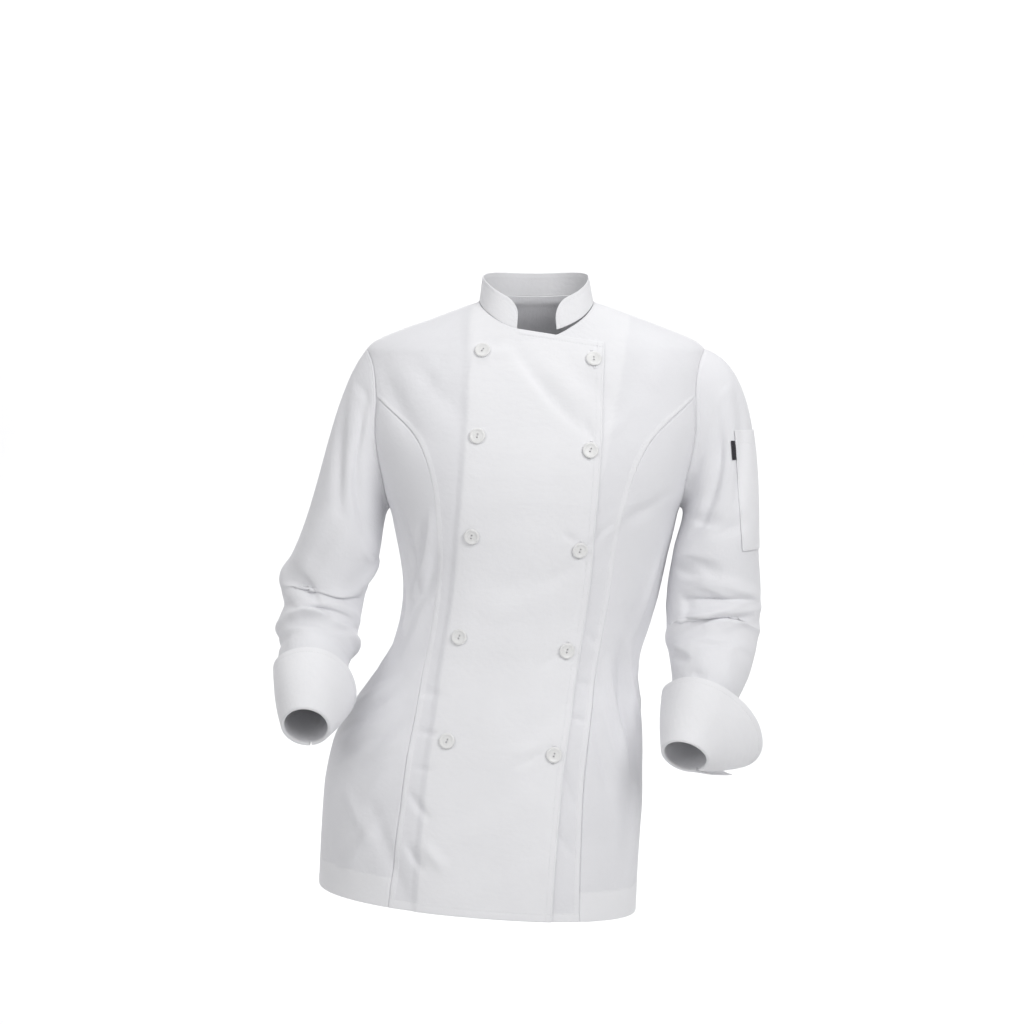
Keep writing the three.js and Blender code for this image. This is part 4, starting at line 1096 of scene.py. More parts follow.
def front_panel(side, sign):
    """One front, from its princess seam across the centre line to its own edge."""
    collar_end, corner = TOP_EDGE[side]
    edge = -sign * LAP_EDGE
    forward = SHOULDER_SEAM_FORWARD - TUCK  # its top runs on under the back's shoulder edge
    neck_turn = neck_turn_at(forward)
    drop = collar_end - neckline(NECK_TURN_AT_END)[1]

    def by_neck(t):
        _, height, off = neckline(lerp(neck_turn, NECK_TURN_AT_END, t))
        return pair(sign * off, height + drop * t * t)

    def by_lap(t):
        return pair(lerp(sign * COLLAR_END, edge, t), lerp(collar_end, corner, t))

    parts = [0, SHOULDER_SHARE, NECK_SHARE, 1]
    top = piecewise(parts, [across_shoulder(sign, forward), by_neck, by_lap])
    start = panel_side(sign, False, SEAM_HALF, forward)
    bend = HEM + 576  # where the front edge's lower part ends
    end = piecewise([0, ARMHOLE_SHARE, 1], [
        lambda t: pair(edge, lerp(HEM, bend, t)),
        lambda t: pair(edge, lerp(bend, corner, t)),
    ])

    def hem(u):
        return pair(lerp(start(np.array(0.0))[0], edge, u), HEM)

    by_shoulder = spaced(RUN["below_shoulder"], SPACING, EDGE_ROWS) * SHOULDER_SHARE
    rest = spaced(RUN["to_front_edge"], SPACING, (), FREE_ROWS)
    us = np.concatenate([by_shoulder, lerp(SHOULDER_SHARE, 1, rest[1:])])
    vs = rows_up(SPACING, HEM_ROWS, TOP_ROWS)
    places = between(hem, top, start, end, us, vs, hold=2, rise=3)
    off, height = places[..., 0], places[..., 1]
    lift = right_lift(off, height) if side == "right" else np.zeros(off.shape)
    angle = angle_across(off, height)
    points, normals = on_body(angle, height, lift)
    grid = Grid(points, normals, weave=weave_of(angle, height))
    from_seam, from_edge, up, below_top = grid.edges()
    seed = 11 if side == "right" else 12
    at_seam = ease(0.805, 0.79, vs)[:, None]  # the band ends with the princess line
    relief = edge_relief(from_seam, up, BAND, seed) * at_seam
    relief += edge_relief(from_edge, up, EDGE_STITCH, seed + 2, 0.25)
    relief += edge_relief(up, from_seam, FRONT_HEM, seed + 4, 0.3)
    lap_top = ease(NECK_SHARE, NECK_SHARE + 0.02, us)[None, :]
    relief += (0.2 * ease(8, 6, below_top) - 0.3 * bump(below_top, TOP_STITCH, 0.8)) * lap_top
    tucked = ease(3.4, 2.2, below_top) * (us < SHOULDER_SHARE)[None, :]
    relief -= TUCK_DROP * tucked
    tone = SEAM_TONE * ease(BAND + 0.6, BAND - 0.2, from_seam) * at_seam
    tone = np.maximum(tone, ease(FRONT_HEM + 0.6, FRONT_HEM, up))
    if side == "right":
        doubled = ease(-LAP_EDGE - 1.2, -LAP_EDGE + 1.2, off)
        relief += 0.3 * doubled
        tone = np.maximum(tone, doubled)
    else:
        facing_line = lerp(108, LAP_EDGE - 8, np.clip((-30 - height) / 250, 0, 1))
        tone = np.maximum(tone, ease(facing_line + 1.5, facing_line - 1.5, off) * 0.75)
    grid.tone = tone
    grid.relieve(relief)
    low = np.searchsorted(vs, ARMHOLE_SHARE) - 1
    stitch(*grid.line(from_seam, 1, BAND - SINK, 0, low))
    stitch(*grid.line(from_edge, 1, EDGE_STITCH - SINK))
    stitch(*grid.line(up, 0, FRONT_HEM - SINK))
    lap_first = np.searchsorted(us, NECK_SHARE + 0.01)
    stitch(*grid.line(below_top, 0, TOP_STITCH, lap_first))
    if side == "right":
        stitch(*grid.line(from_edge, 1, 2.2))
    return grid


def side_part(sign, back, inset, spacing):
    """The part of the body between a princess line and the side seam."""
    first = turn_at_princess(back)
    tuck = 0 if back else TUCK

    def line_angle(height):
        return angle_across(sign * (line_off(height, back) + inset - tuck), height, back)

    def seam_angle(height):
        return angle_behind(np.full(np.shape(height), SEAM_HALF if back else tuck), height, sign)

    def arm(t):
        angle, height = armhole(lerp(first, math.pi, t), sign, SEAM_HALF)
        at_line = lerp(line_angle(PRINCESS_TOP), angle, ease(0, 0.15, t))
        return pair(lerp(at_line, seam_angle(height), ease(0.8, 1, t)), height)

    def bottom(u):
        return pair(lerp(line_angle(HEM), seam_angle(np.array(float(HEM))), u), HEM)

    def start(v):
        height = lerp(HEM, PRINCESS_TOP, v)
        return pair(line_angle(height), height)

    def end(v):
        height = lerp(HEM, arm(np.array(1.0))[1], v)
        return pair(seam_angle(height), height)

    near = EDGE_ROWS if back else [0, 1, 2, 3, 3.7, 4.4, 5.2, 6.5, 8.5]
    us = spaced(RUN["side"], spacing, near, [0, 1, 2, 3, 4.5, 6])
    hem_rows = HEM_ROWS if back else SIDE_HEM_ROWS
    vs = rows_up(spacing, hem_rows)
    vs = vs[vs <= ARMHOLE_SHARE + 1e-9] / ARMHOLE_SHARE
    places = between(bottom, arm, start, end, us, vs)
    angle, height = places[..., 0], places[..., 1]
    points, normals = on_body(angle, height)
    grid = Grid(points, normals, weave=weave_of(angle, height))
    from_seam, from_side, up, _ = grid.edges()
    hem_depth = FRONT_HEM if back else SIDE_HEM
    seed = 31 + sign
    if back:
        relief = edge_relief(up, angle * BACK_ROUND, hem_depth, BACK_HEM_SEED, 0.25)
    else:
        relief = edge_relief(up, from_seam, hem_depth, seed, 0.25)
    grid.tone = ease(hem_depth + 0.6, hem_depth - 0.4, up)
    if not back:
        relief -= TUCK_DROP * (ease(4.6, 2.9, from_seam) + ease(4.6, 2.9, from_side))
    grid.relieve(relief)
    stitch(*grid.line(up, 0, hem_depth - SINK))
    return grid


def back_panel():
    """The back: between its two darts, both sides of them, and over the ridges of the shoulders."""
    neck_turn = neck_turn_at(0)
    left, right = across_shoulder(1, 0), across_shoulder(-1, 0)

    def by_neck(t):
        _, height, off = neckline(lerp(neck_turn, 2 * math.pi - neck_turn, t))
        return pair(off, height)

    top = piecewise([0, BACK_SHOULDER, 1 - BACK_SHOULDER, 1], [left, by_neck, lambda t: right(1 - t)])
    start, end = panel_side(1, True, 0, 0), panel_side(-1, True, 0, 0)

    def hem(u):
        zero = np.array(0.0)
        return pair(lerp(start(zero)[0], end(zero)[0], u), HEM)

    shoulder_steps = max(6, int(RUN["shoulder"] / BACK_SPACING))
    dart = np.array(EDGE_ROWS) / RUN["between_darts"]
    dart = dart[dart < 0.06]
    stops = [0, BACK_SHOULDER, 1 - BACK_SHOULDER, 1]
    even = [np.linspace(a, b, shoulder_steps + 1) for a, b in zip(stops, stops[1:])]
    us = np.unique(np.concatenate([dart, *even, 1 - dart]).round(9))
    vs = rows_up(BACK_SPACING, HEM_ROWS)
    places = between(hem, top, start, end, us, vs)
    off, height = places[..., 0], places[..., 1]
    angle = angle_across(off, height, True)
    points, normals = on_body(angle, height)
    middle = Grid(points, normals, weave=weave_of(angle, height))
    from_left, from_right, up, _ = middle.edges()
    # The darts run from the hem nearly to the shoulder blades and fade out there.
    dart_fade = ease(DART_TOP + 35, DART_TOP, height)
    relief = np.zeros(off.shape)
    for away, seed in ((from_left, 31), (from_right, 32)):
        relief += (edge_relief(away, up, DART_BAND, seed, 0.3) + 0.45 * bump(away, 0, 0.7)) * dart_fade
    hem_relief = edge_relief(up, angle * BACK_ROUND, FRONT_HEM, BACK_HEM_SEED, 0.25)
    relief += hem_relief
    middle.tone = ease(FRONT_HEM + 0.6, FRONT_HEM, up)
    edges = (from_left < 0.01) | (from_right < 0.01)
    relief = np.where(edges, hem_relief, relief)
    middle.relieve(relief)
    stitch(*middle.line(up, 0, FRONT_HEM - SINK))
    high = int(np.argmax(height[:, 0] > DART_TOP))
    stitch(*middle.line(from_left, 1, DART_BAND - 0.6, 0, high))
    stitch(*middle.line(from_right, 1, DART_BAND - 0.6, 0, high))
    grids = [middle]
    for sign in (1, -1):
        grids.append(side_part(sign, True, 0, BACK_SPACING))
        grids.append(over_shoulder(sign, us))
    return grids


def over_shoulder(sign, us):
    """The part of the back that comes over a shoulder's ridge to the seam in front of it."""
    from_tip = us if sign > 0 else 1 - us
    shares = from_tip[from_tip <= BACK_SHOULDER + 1e-9] / BACK_SHOULDER
    points, normals, weave = [], [], []
    steps = [0, 3, 6, 8, 9.5, 11, 11.85]
    for forward in steps:
        angle, height = shoulder_line(sign, forward)(shares)
        point, normal = on_body(angle, height)
        relief = 0.35 * ease(0, 6, forward) - 0.5 * float(bump(forward, 11.85, 0.7))
        points.append(point + normal * relief)
        normals.append(normal)
        weave.append(np.stack([shares * RUN["shoulder"], np.full(shares.shape, forward + 60.0)], -1))
    grid = Grid(np.array(points), np.array(normals), weave=np.array(weave))
    grid.tone = np.repeat(ease(5, 7, np.array(steps))[:, None], len(shares), 1)
    if len(steps) > 3:
        stitch(grid.points[2], grid.normals[2])
    return grid


def collar_grid():
    """A band that stands on the neckline, with the upper corners of its ends rounded."""
    last = 2 * math.pi - NECK_TURN_AT_END
    t = spaced(RUN["collar"], SPACING, FREE_ROWS[:8], FREE_ROWS[:8])
    turns = lerp(NECK_TURN_AT_END, last, t - 0.035 * np.sin(2 * math.pi * t))
    shares = np.concatenate([[0, 0.03, 0.07], np.linspace(0.13, 0.75, 9), [0.8, 0.84, 0.88, 0.93, 0.97, 1]])

    def place(turn, share):
        angle, height, off = neckline(turn)
        ahead = np.maximum(0, np.cos(turn))
        lift = np.where((off < 0) & (np.cos(turn) > 0), right_lift(off, height), 0)
        seat = on_body(angle, height, lift, creases=False)[0]
        outward = np.stack([np.sin(turn), -np.cos(turn), np.zeros(turn.shape)], -1)
        from_end = np.minimum(turn, 2 * math.pi - turn) - NECK_TURN_AT_END
        near = np.clip(1 - from_end * COLLAR["end_round"] / COLLAR["corner"], 0, 1)
        tall = lerp(COLLAR["back"], COLLAR["front"], ahead)
        tall = tall * (1 - COLLAR["corner_share"] * (1 - np.sqrt(1 - near * near)))
        rise = COLLAR["seat"] + share * tall
        lean = lerp(COLLAR_LEAN["back"], COLLAR_LEAN["front"], ahead)
        wave = 0.7 * np.sin(turn * 3 + 1) * share + 0.5 * np.sin(turn * 7.3) * share
        point = seat + outward * (rise * lean + wave)[..., None]
        point[..., 2] += rise
        return point

    turn, share = np.meshgrid(turns, shares)
    normals = facing(place, turn, share, math.radians(0.5), 0.01)
    weave = np.stack([turn * COLLAR["round"], share * COLLAR["front"]], -1)
    grid = Grid(place(turn, share), normals, np.ones(turn.shape), weave)
    from_first, from_last, up, from_top = grid.edges()
    near_edge = np.minimum(from_top, np.minimum(from_first, from_last))
    inset = COLLAR["stitch"]
    relief = -0.3 * bump(near_edge, inset, 0.8) + 0.15 * puckers(from_first, 41) * bump(near_edge, inset, 4)
    relief -= 0.35 * bump(up, 0, 0.9)
    grid.relieve(relief)
    stitch(*grid.line(from_top, 0, inset, 7, -7))
    stitch(*grid.line(from_first, 1, inset, 1, -4))
    stitch(*grid.line(from_last, 1, inset, 1, -4))
    return grid


def sleeve_surface(side_name):
    """An arm's sleeve as a surface of turn (0 outside, 90 degrees in front) and share of its length."""
    arm = ARMS[side_name]
    side, head, under = arm["side"], arm["head"], arm["under"]
    stations = np.array(arm["stations"], float)
    steps = np.linalg.norm(np.diff(stations[:, :3], axis=0), axis=1)
    run = np.concatenate([[0], np.cumsum(steps)]) / np.sum(steps)
    columns = [curve(run, stations[:, i]) for i in range(5)]

    def middle(k):
        return np.stack([columns[i](k) for i in range(3)], -1)

    def axes(k):
        down = unit(middle(np.minimum(1, k + 0.01)) - middle(np.maximum(0, k - 0.01)))
        out = np.zeros_like(down)
        out[..., 0] = side
        out = unit(out - down * np.sum(out * down, -1, keepdims=True))
        return down, out, np.cross(out, down) * -side

    def tube(turn, k):
        _, out, ahead = axes(k)
        across = (columns[3](k) * np.cos(turn))[..., None]
        deep = (columns[4](k) * np.sin(turn))[..., None]
        return middle(k) + out * across + ahead * deep

    def shape(turn, share):
        turn, share = np.broadcast_arrays(turn, share)
        arm_part = tube(turn, np.maximum(0, share - HEAD_SHARE) / (1 - HEAD_SHARE))
        s = np.minimum(share / HEAD_SHARE, 1)[..., None]
        w = (1 + np.cos(turn)) / 2
        angle, height = armhole(turn, side, -SEAM_HALF - lerp(1.6, 0.3, w))
        start = on_body(angle, height, creases=False)[0]
        to = tube(turn, np.zeros(turn.shape))
        leave = np.stack([side * lerp(under[0], head[0], w), 0 * w, -lerp(under[1], head[1], w)], -1)
        arrive = unit(tube(turn, np.full(turn.shape, 0.02)) - to)
        arrive = arrive * np.linalg.norm(start - to, axis=-1, keepdims=True)
        s2, s3 = s * s, s * s * s
        cap = start * (2 * s3 - 3 * s2 + 1) + leave * (s3 - 2 * s2 + s)
        cap = cap + to * (3 * s2 - 2 * s3) + arrive * (s3 - s2)
        return np.where((share >= HEAD_SHARE)[..., None], arm_part, cap)

    def folded(turn, share):
        along = shape(turn, share + 0.002) - shape(turn, share - 0.002)
        around = shape(turn + 0.01, share) - shape(turn - 0.01, share)
        out = unit(np.cross(around, along)) * side
        degrees = np.degrees(turn)
        broad, slip = raised(
            SLEEVE_FOLDS[side_name], degrees, share, SLEEVE_MM_PER_DEGREE, SLEEVE_MM_OVERALL, True)
        fade = ease(0, 0.1, share) * ease(1, 0.9, share)
        point = shape(turn, share)
        fine = front_creases(point, out, SLEEVE_CREASES[side_name]) * SLEEVE_CREASE_DEPTH
        fine += hidden_creases(
            degrees, share, HIDDEN_SLEEVE_CREASES[side_name], SLEEVE_MM_PER_DEGREE, SLEEVE_MM_OVERALL
        ) * HIDDEN_DEPTH
        point = point + out * ((broad + fine * ease(0, 0.05, share)) * fade)[..., None]
        return point + unit(along) * (slip * fade * SLIP)[..., None], out

    one = np.array(1.0)
    down, out, ahead = axes(one)
    end = {"middle": middle(one), "down": down, "out": out, "ahead": ahead,
           "across": float(columns[3](one)), "deep": float(columns[4](one)), "side": side}
    return folded, end


def sleeve_grid(side_name):
    """A sleeve's grid, with the data of its end and the surface that other pieces lie on."""
    folded, end = sleeve_surface(side_name)
    side = end["side"]
    round_count = 128
    turns = np.radians(SLEEVE_SEAM) + np.linspace(0, 2 * math.pi, round_count + 1)
    near = np.array([0, 0.5, 1.2, 2.4, 4, 5.4, 6, 6.6, 7.2, 8.2, 10]) / SLEEVE_MM_OVERALL
    rest = spaced(SLEEVE_MM_OVERALL, SPACING)[5:]
    turn, share = np.meshgrid(turns, np.concatenate([near, rest]))
    points, out = folded(turn, share)
    # The seam allowance reaches back under the body's edge.
    flange, flange_out = [], []
    upward = (1 + np.cos(turns)) / 2
    for grow, depth in ((TUCK, TUCK_DROP - 0.1), (0.7, TUCK_DROP - 0.1), (-0.4, TUCK_DROP - 0.4)):
        angle, height = armhole(turns, side, grow - lerp(0.8, 0.2, upward) * (grow < 0))
        p, n = on_body(angle, height, -depth, creases=False)
        flange.append(p)
        flange_out.append(n)
    up = arcs(points, 0)
    around = np.degrees(turn) * SLEEVE_MM_PER_DEGREE
    weave = np.stack([around, share * SLEEVE_MM_OVERALL], -1)
    relief = edge_relief(up, around, ARM_BAND, 51 + side, 0.15)
    seam = np.abs(np.degrees(turn) - SLEEVE_SEAM)
    seam = np.minimum(seam, 360 - seam) * SLEEVE_MM_PER_DEGREE
    relief -= 0.5 * bump(seam, 0, 1.2)
    points = points + out * relief[..., None]
    normals = oriented(grid_normals(points), out)
    points = np.concatenate([np.array(flange), points])
    points[:, -1] = points[:, 0]
    normals = np.concatenate([np.array(flange_out), normals])
    weave = np.concatenate([np.repeat(weave[:1], 3, 0), weave])
    tone = np.concatenate([np.zeros((3, up.shape[1])), 0.3 * ease(ARM_BAND + 0.5, ARM_BAND - 0.3, up)])
    stitch(*Grid(points[3:], normals[3:]).line(up, 0, ARM_BAND - 0.9))
    return Grid(points, normals, tone, weave), end, folded


def cuff_grid(end, vent):
    """It starts at the sleeve's end, rolls outward and goes back up the arm, open at its vent."""
    side = end["side"]
    first = math.radians(vent["at"] + vent["gap"] / 2)
    last = math.radians(vent["at"] - vent["gap"] / 2 + 360)

    def fade(x):
        return np.where(x < 1, (1 - x) ** 2 * (1 + 2 * x), 0)

    def place(turn, path):
        from_first, from_last = np.degrees(turn - first), np.degrees(last - turn)
        out_tilt, out_reach = vent["outside"]
        in_tilt, in_reach = vent["inside"]
        tilt = CUFF["tilt"] + (out_tilt - CUFF["tilt"]) * fade(np.maximum(0, from_first) / out_reach)
        tilt = np.radians(tilt + (in_tilt - CUFF["tilt"]) * fade(np.maximum(0, from_last) / in_reach))
        cosine, sine = np.cos(turn)[..., None], np.sin(turn)[..., None]
        out = unit(end["out"] * cosine * end["deep"] + end["ahead"] * sine * end["across"])
        point = end["middle"] + end["out"] * end["across"] * cosine + end["ahead"] * end["deep"] * sine
        swing = np.clip(path, 0, 1) * (math.pi - tilt)
        away = CUFF["roll"] - 2 - CUFF["roll"] * np.cos(swing)
        down = 0.3 + CUFF["cover"] + CUFF["roll"] * np.sin(swing) + np.minimum(path, 0) * CUFF["cover"]
        near = np.minimum(from_first, from_last) * 0.55
        rounded = np.clip(1 - near / CUFF["corner"], 0, 1)
        long = CUFF["height"] - CUFF["corner"] * (1 - np.sqrt(1 - rounded * rounded))
        up = np.maximum(path - 1, 0) * long
        bow = CUFF["bow"] * np.sin(math.pi * np.clip(path - 1, 0, 1))
        ripple = np.sin(turn * 2.7 + 0.8) * 1.1 + np.sin(turn * 5.1 + path * 2.0) * 0.6
        bow = bow + ripple * np.clip(path - 1, 0, 1)
        away = away + up * np.sin(tilt) + bow * np.cos(tilt)
        down = down - up * np.cos(tilt) + bow * np.sin(tilt)
        return point + out * away[..., None] + end["down"] * down[..., None]

    t = spaced(RUN["cuff"], SPACING, FREE_ROWS, FREE_ROWS)
    turns = lerp(first, last, t - 0.05 * np.sin(2 * math.pi * t))
    edge = 2 - np.array(FREE_ROWS[::-1]) / CUFF["height"]
    paths = np.concatenate([np.linspace(-1, 1, 13), np.linspace(1, edge[0], 18)[1:-1], edge])
    turn, path = np.meshgrid(turns, paths)
    normals = facing(place, turn, path, math.radians(0.5), 0.01) * -side
    weave = np.stack([turn * CUFF["round"], path * CUFF["height"]], -1)
    grid = Grid(place(turn, path), normals, np.ones(turn.shape), weave)
    from_first, from_last, up, from_top = grid.edges()
    near_edge = np.minimum(from_top, np.minimum(from_first, from_last))
    inset = CUFF["stitch"]
    relief = -0.3 * bump(near_edge, inset, 0.9)
    relief += 0.2 * puckers(from_first, 61 + side) * bump(near_edge, inset, 5)
    relief *= ease(0.9, 1.1, path)
    grid.relieve(relief)
    ends = len(FREE_ROWS) - 4
    stitch(*grid.line(from_top, 0, inset, ends, -ends))
    upper = int(np.argmax(paths > 1.05))
    stitch(*grid.line(from_first, 1, inset, upper, -6))
    stitch(*grid.line(from_last, 1, inset, upper, -6))
    return grid


def edges_on_sleeve(folded, level, front, back):
    """For each height on the left sleeve: shares of its length, and the turns at a front and a back edge."""
    turns = np.radians(np.linspace(-75, 88, 110))
    shares = np.linspace(0.04, 0.6, 150)
    surface, _ = folded(*np.meshgrid(turns, shares))
    outermost = math.radians(3)
    ahead, behind = turns > outermost, turns <= outermost
    rows = []
    for height, x_edge in zip(level, front):
        share = np.array([np.interp(-height, -column[:, 2], shares) for column in surface.swapaxes(0, 1)])
        at = np.array([
            [np.interp(share[j], shares, surface[:, j, k]) for k in range(2)] for j in range(len(turns))
        ])
        front_turn = np.interp(-x_edge, -at[ahead, 0], turns[ahead])
        back_turn = np.interp(-back, -at[behind, 1], turns[behind])
        rows.append((share, front_turn, back_turn))
    return rows, turns


def laid_on_sleeve(folded, turn, share, lift, tone):
    """A grid of cloth that lies on the sleeve at the given places."""
    points, out = folded(turn, share)
    surface = oriented(grid_normals(points), out)
    weave = np.stack([np.degrees(turn), share * SLEEVE_MM_OVERALL], -1)
    return Grid(points + surface * lift, surface, np.full(turn.shape, tone), weave)


def pocket_grids(folded):
    """The pen pocket and the dark tab that sticks out of its front edge."""
    steps_down = 50
    fine = np.array([0, 0.8, 1.6, 2.6, 4])
    tall = POCKET["top"] - POCKET["bottom"]
    t = spaced(tall, tall / steps_down, fine, fine)
    level = POCKET["top"] - tall * t
    front = lerp(POCKET["front_top"], POCKET["front_bottom"], t)
    rows, turns = edges_on_sleeve(folded, level, front, POCKET["back"])
    u = spaced(RUN["pocket"], SPACING, fine, fine)
    turn = np.array([lerp(r[1], r[2], u) for r in rows])
    share = np.array([np.interp(turn[i], turns, r[0]) for i, r in enumerate(rows)])
    lift = 1.7 + 0.35 * np.sin(u * 9 + 1)[None, :, None] * np.sin(t * 5 + 2)[:, None, None]
    grid = laid_on_sleeve(folded, turn, share, lift, 0.8)
    from_front, from_back, down, from_bottom = grid.edges()
    edge = np.minimum(np.minimum(from_front, from_back), from_bottom)
    inset, hem = POCKET["stitch"], POCKET["hem"]
    relief = -0.3 * bump(edge, inset, 0.7) - 0.3 * bump(edge, 0, 0.6) - 0.3 * bump(down, hem, 0.9)
    relief += 0.2 * puckers(down, 71) * bump(edge, inset, 3)
    grid.raise_by(relief)
    stitch(*grid.line(from_front, 1, inset))
    stitch(*grid.line(from_back, 1, inset))
    stitch(*grid.line(from_bottom, 0, inset))
    stitch(*grid.line(down, 0, hem))

    tab_t = np.linspace(0, 1, 12)
    tab_level = lerp(TAB["top"], TAB["bottom"], tab_t)
    edge_x = np.interp(-tab_level, -level, front) - 0.9
    outer, _ = edges_on_sleeve(folded, tab_level, edge_x, 0)
    inner, _ = edges_on_sleeve(folded, tab_level, edge_x - TAB["width"], 0)
    u = np.linspace(0, 1, 7)
    turn = np.array([lerp(a[1], b[1], u) for a, b in zip(outer, inner)])
    share = np.array([np.interp(turn[i], turns, r[0]) for i, r in enumerate(outer)])
    lift = 1.4 + 0.25 * np.sin(tab_t * 3.1)[:, None, None]
    return grid, laid_on_sleeve(folded, turn, share, lift, 0.5)


def front_place(x, z):
    """The place on the right front that lies at x across and z up."""
    off, height = 0.0, float(z)
    for _ in range(12):
        angle = angle_across(off, height)
        ahead = math.cos(angle) ** (2 / float(TORSO["power"](height)))
        off = x - float(TORSO["centre"](height)) - float(TORSO["shift"](height)) * ahead
        height = z + float(TORSO["roll"](height)) * (x - float(TORSO["centre"](height)))
    return off, height


def button_basis(x, z, lift):
    """A point on the right front as seen from ahead, and the directions across, up and out."""
    off, height = front_place(x, z)
    lift = float(right_lift(off, height)) + 0.3 + lift
    angle = float(angle_across(off, height))
    point, normal = on_body(np.array(angle), np.array(height), np.array(lift))
    above, _ = on_body(np.array(angle), np.array(height + 4), np.array(lift))
    up = above - point
    up = unit(up - normal * np.dot(up, normal))
    return point, np.cross(up, normal), up, normal


def button_blank():
    """A turned disc with a raised rounded rim, a dished middle and two holes right through."""
    radius, thick, dish = BUTTON["radius"], BUTTON["thick"], BUTTON["dish"]
    floor = thick - BUTTON["rim"]
    under = [(0, 0.5), (radius - 2.6, 0.3), (radius - 1.0, 0.75), (radius - 0.2, 1.45), (radius, 2.0)]
    rim = [(radius - 0.18, 2.6), (radius - 0.75, 3.05), (radius - 1.6, thick), (dish + 1.5, thick - 0.08)]
    inside = [(dish + 0.7, thick - 0.4), (dish + 0.1, floor + 0.12), (dish - 0.8, floor), (0, floor - 0.1)]
    profile = under + rim + inside
    sides = 56
    points, faces = [], []
    for r, z in profile:
        for i in range(1 if r == 0 else sides):
            a = 2 * math.pi * i / sides
            points.append((r * math.cos(a), r * math.sin(a), z))
    rings = len(profile) - 2
    top = len(points) - 1
    for i in range(sides):
        j = (i + 1) % sides
        faces.append([0, 1 + j, 1 + i])
        for k in range(rings - 1):
            a, b = 1 + k * sides, 1 + (k + 1) * sides
            faces.append([a + i, a + j, b + j, b + i])
        faces.append([1 + (rings - 1) * sides + i, 1 + (rings - 1) * sides + j, top])
    blank = add_mesh("button_blank", points, faces, PLASTIC)
    cutters = []
    for end in (-1, 1):
        x, y = 0.35 * end, BUTTON["hole_gap"] / 2 * end
        around = np.linspace(0, 2 * math.pi, HOLE_SIDES, endpoint=False)
        ring = [(x + BUTTON["hole"] * math.cos(a), y + BUTTON["hole"] * math.sin(a), z)
                for z in (-2, thick + 2) for a in around]
        pairs = [(i, (i + 1) % HOLE_SIDES) for i in range(HOLE_SIDES)]
        sides_of = [[i, j, HOLE_SIDES + j, HOLE_SIDES + i] for i, j in pairs]
        caps = [list(range(HOLE_SIDES))[::-1], list(range(HOLE_SIDES, 2 * HOLE_SIDES))]
        cutter = add_mesh("hole", ring, sides_of + caps, PLASTIC)
        cut = blank.modifiers.new("hole", "BOOLEAN")
        cut.object = cutter
        cut.solver = "EXACT"
        cutters.append(cutter)
    depsgraph = bpy.context.evaluated_depsgraph_get()
    mesh = bpy.data.meshes.new_from_object(blank.evaluated_get(depsgraph))
    for piece in [*cutters, blank]:
        bpy.data.objects.remove(piece)
    mesh.polygons.foreach_set("use_smooth", [True] * len(mesh.polygons))
    mesh.set_sharp_from_angle(angle=math.radians(38))
    return mesh


def place_buttons():
    """Copies the button to its ten places and sews it on."""
    blank = button_blank()
    count = len(blank.vertices)
    flat = np.empty(count * 3)
    blank.vertices.foreach_get("co", flat)
    local = flat.reshape(-1, 3) * 1000
    for entry in BUTTONS:
        for column in ("right", "left"):
            point, across, up, normal = button_basis(*entry[column], 0)
            mesh = blank.copy()
            world = point + local @ np.stack([across, up, normal])
            mesh.vertices.foreach_set("co", (world / 1000).ravel())
            name = f"button_{column}_{entry['row']}_plastic"
            mesh.name = name
            piece = bpy.data.objects.new(name, mesh)
            collection.objects.link(piece)
            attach(piece, "root")
            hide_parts(f"button_{column}_{entry['row']}")
            # Two passes of thread cross from hole to hole in the dish.
            floor = BUTTON["thick"] - BUTTON["rim"] + 0.15
            line = unit(up * BUTTON["hole_gap"] + across * 0.7)
            beside = np.cross(normal, line)
            apart = THREAD_PASS["apart"]
            centres = np.array([point + normal * floor + beside * s for s in (-apart, apart)])
            along, out = np.array([line, line]), np.array([normal, normal])
            stitch_parts.append(bars(centres, along, out, THREAD_PASS["length"], THREAD_PASS["radius"]))


def buttonhole(x, z):
    """Two dense rows of stitches on both sides of a slit, closed by a bar at each end."""
    _, across, _, _ = button_basis(x, z, -0.3)
    half = BUTTONHOLE["length"] / 2
    off, height = front_place(x, z)
    angle = float(angle_across(off, height))
    heights = height + np.arange(-half, half + 0.01, BUTTONHOLE["pitch"])
    lift = np.full(heights.shape, float(right_lift(off, height)) + 0.3)
    line, normals = on_body(np.full(heights.shape, angle), heights, lift)
    along = np.repeat(across[None], len(heights), 0)
    for end in (-1, 1):
        centres = line + along * end * (BUTTONHOLE["slit"] + BUTTONHOLE["bar"]) / 2 + normals * 0.12
        stitch_parts.append(bars(centres, along, normals, BUTTONHOLE["bar"], 0.36))
    for i in (0, -1):
        stitch_parts.append(bars(line[[i]] + normals[[i]] * 0.2, along[[i]], normals[[i]], 4.2, 0.5))


def dress(name, node, grids, cloth, material=WHITE):
    """Makes a piece of cloth that stands for a node of the frame."""
    piece = wall(name, grids, cloth, material)
    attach(piece, "root")
    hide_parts(node)


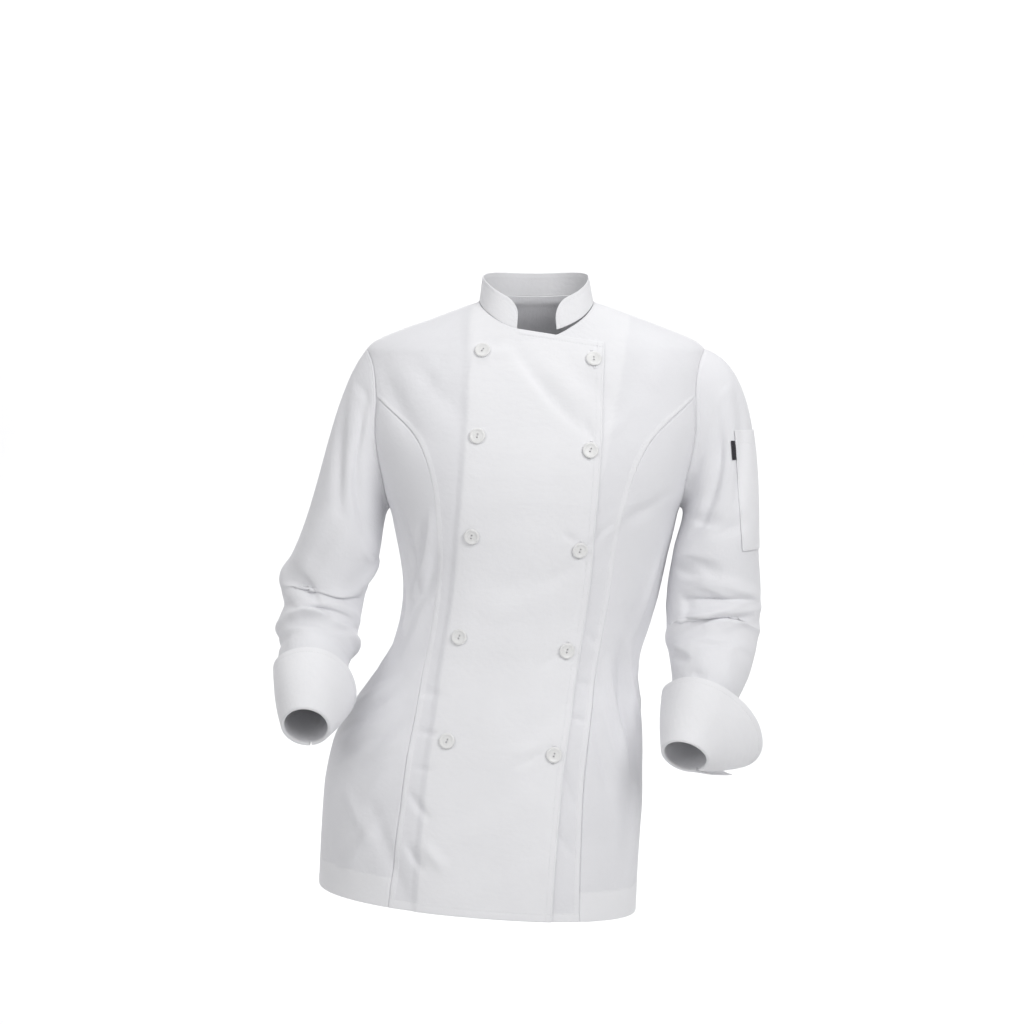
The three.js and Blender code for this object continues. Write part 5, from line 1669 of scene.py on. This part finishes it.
# The pieces.
dress("front_right_cloth", "front_right", [front_panel("right", -1)], DOUBLED)
dress("front_left_cloth", "front_left", [front_panel("left", 1)], CLOTH)
for side_name, side_sign, area in (("right", -1, 0.072), ("left", 1, 0.074)):
    panel = side_part(side_sign, False, SEAM_HALF, SPACING)
    name = f"side_front_{side_name}"
    dress(f"{name}_cloth", name, [panel], CLOTH)
dress("back_cloth", "back", back_panel(), CLOTH)
dress("collar_cloth", "collar", [collar_grid()], DOUBLED)
for side_name, area, cuff_area in (("right", 0.128, 0.022), ("left", 0.140, 0.025)):
    grid, end, folded = sleeve_grid(side_name)
    dress(f"sleeve_{side_name}_cloth", f"sleeve_{side_name}", [grid], CLOTH)
    cuff = cuff_grid(end, ARMS[side_name]["vent"])
    name = f"cuff_{side_name}"
    dress(f"{name}_cloth", name, [cuff], DOUBLED)
    if side_name == "left":
        pocket, tab = pocket_grids(folded)
        dress("sleeve_pocket_cloth", "sleeve_pocket", [pocket], POCKET["cloth"])
        dress("pocket_tab_cloth", "pocket_tab", [tab], TAB["cloth"], TAPE)

place_buttons()
for entry in BUTTONS:
    buttonhole(*entry["left"])
stitches = thread_mesh("stitching", stitch_parts, THREAD)
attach(stitches, "root")


# The stage: a pale floor that runs up into a backdrop, soft lights and the camera.
def stage_sheet():
    radius, back = STUDIO["bend"], STUDIO["back"]
    profile = [(STUDIO["front"], FLOOR), (back - radius, FLOOR)]
    for i in range(1, 13):
        a = math.radians(90 * i / 12)
        profile.append((back - radius + radius * math.sin(a), FLOOR + radius * (1 - math.cos(a))))
    profile.append((back, STUDIO["top"]))
    half = STUDIO["half_width"]
    points = [(x * 1000, y * 1000, z * 1000) for y, z in profile for x in (-half, half)]
    faces = [[2 * i, 2 * i + 1, 2 * i + 3, 2 * i + 2] for i in range(len(profile) - 1)]
    material, shader, _ = new_material("studio_paper")
    feed(shader, {"Base Color": (0.93, 0.93, 0.935, 1), "Roughness": 0.95})
    sheet = add_mesh("studio_floor", points, faces, material)


def turned_to(at, looks_at):
    return (Vector(looks_at) - Vector(at)).to_track_quat("-Z", "Y").to_euler()


def area_light(name, at, looks_at, size, power):
    data = bpy.data.lights.new(name, "AREA")
    data.shape = "RECTANGLE"
    data.size, data.size_y = size
    data.energy = power
    data.spread = math.radians(LIGHT_SPREAD)
    light = bpy.data.objects.new(name, data)
    light.location = at
    light.rotation_euler = turned_to(at, looks_at)
    collection.objects.link(light)


stage_sheet()
area_light("key", (1.5, -2.2, 1.3), (0, 0, -0.1), (1.5, 1.5), 21)
area_light("fill", (-1.9, -2.2, 0.9), (0, 0, -0.1), (1.8, 1.8), 9.5)
area_light("top", (0, 0.4, 2.4), (0, 0, -0.3), (2.2, 1.6), 5)
area_light("backdrop_wash", (0, 0.9, 2.6), (0, 2.8, -0.6), (5, 1), 55)
world = bpy.data.worlds.new("studio")
world.use_nodes = True
world.node_tree.nodes["Background"].inputs["Color"].default_value = (1, 1, 1, 1)
world.node_tree.nodes["Background"].inputs["Strength"].default_value = 0.35
bpy.context.scene.world = world
bpy.context.scene.view_settings.view_transform = "Standard"

camera_data = bpy.data.cameras.new("camera")
camera_data.angle = math.radians(CAMERA_ANGLE)
camera = bpy.data.objects.new("camera", camera_data)
camera.location = CAMERA_AT
camera.rotation_euler = turned_to(CAMERA_AT, CAMERA_LOOKS_AT)
collection.objects.link(camera)
bpy.context.scene.camera = camera
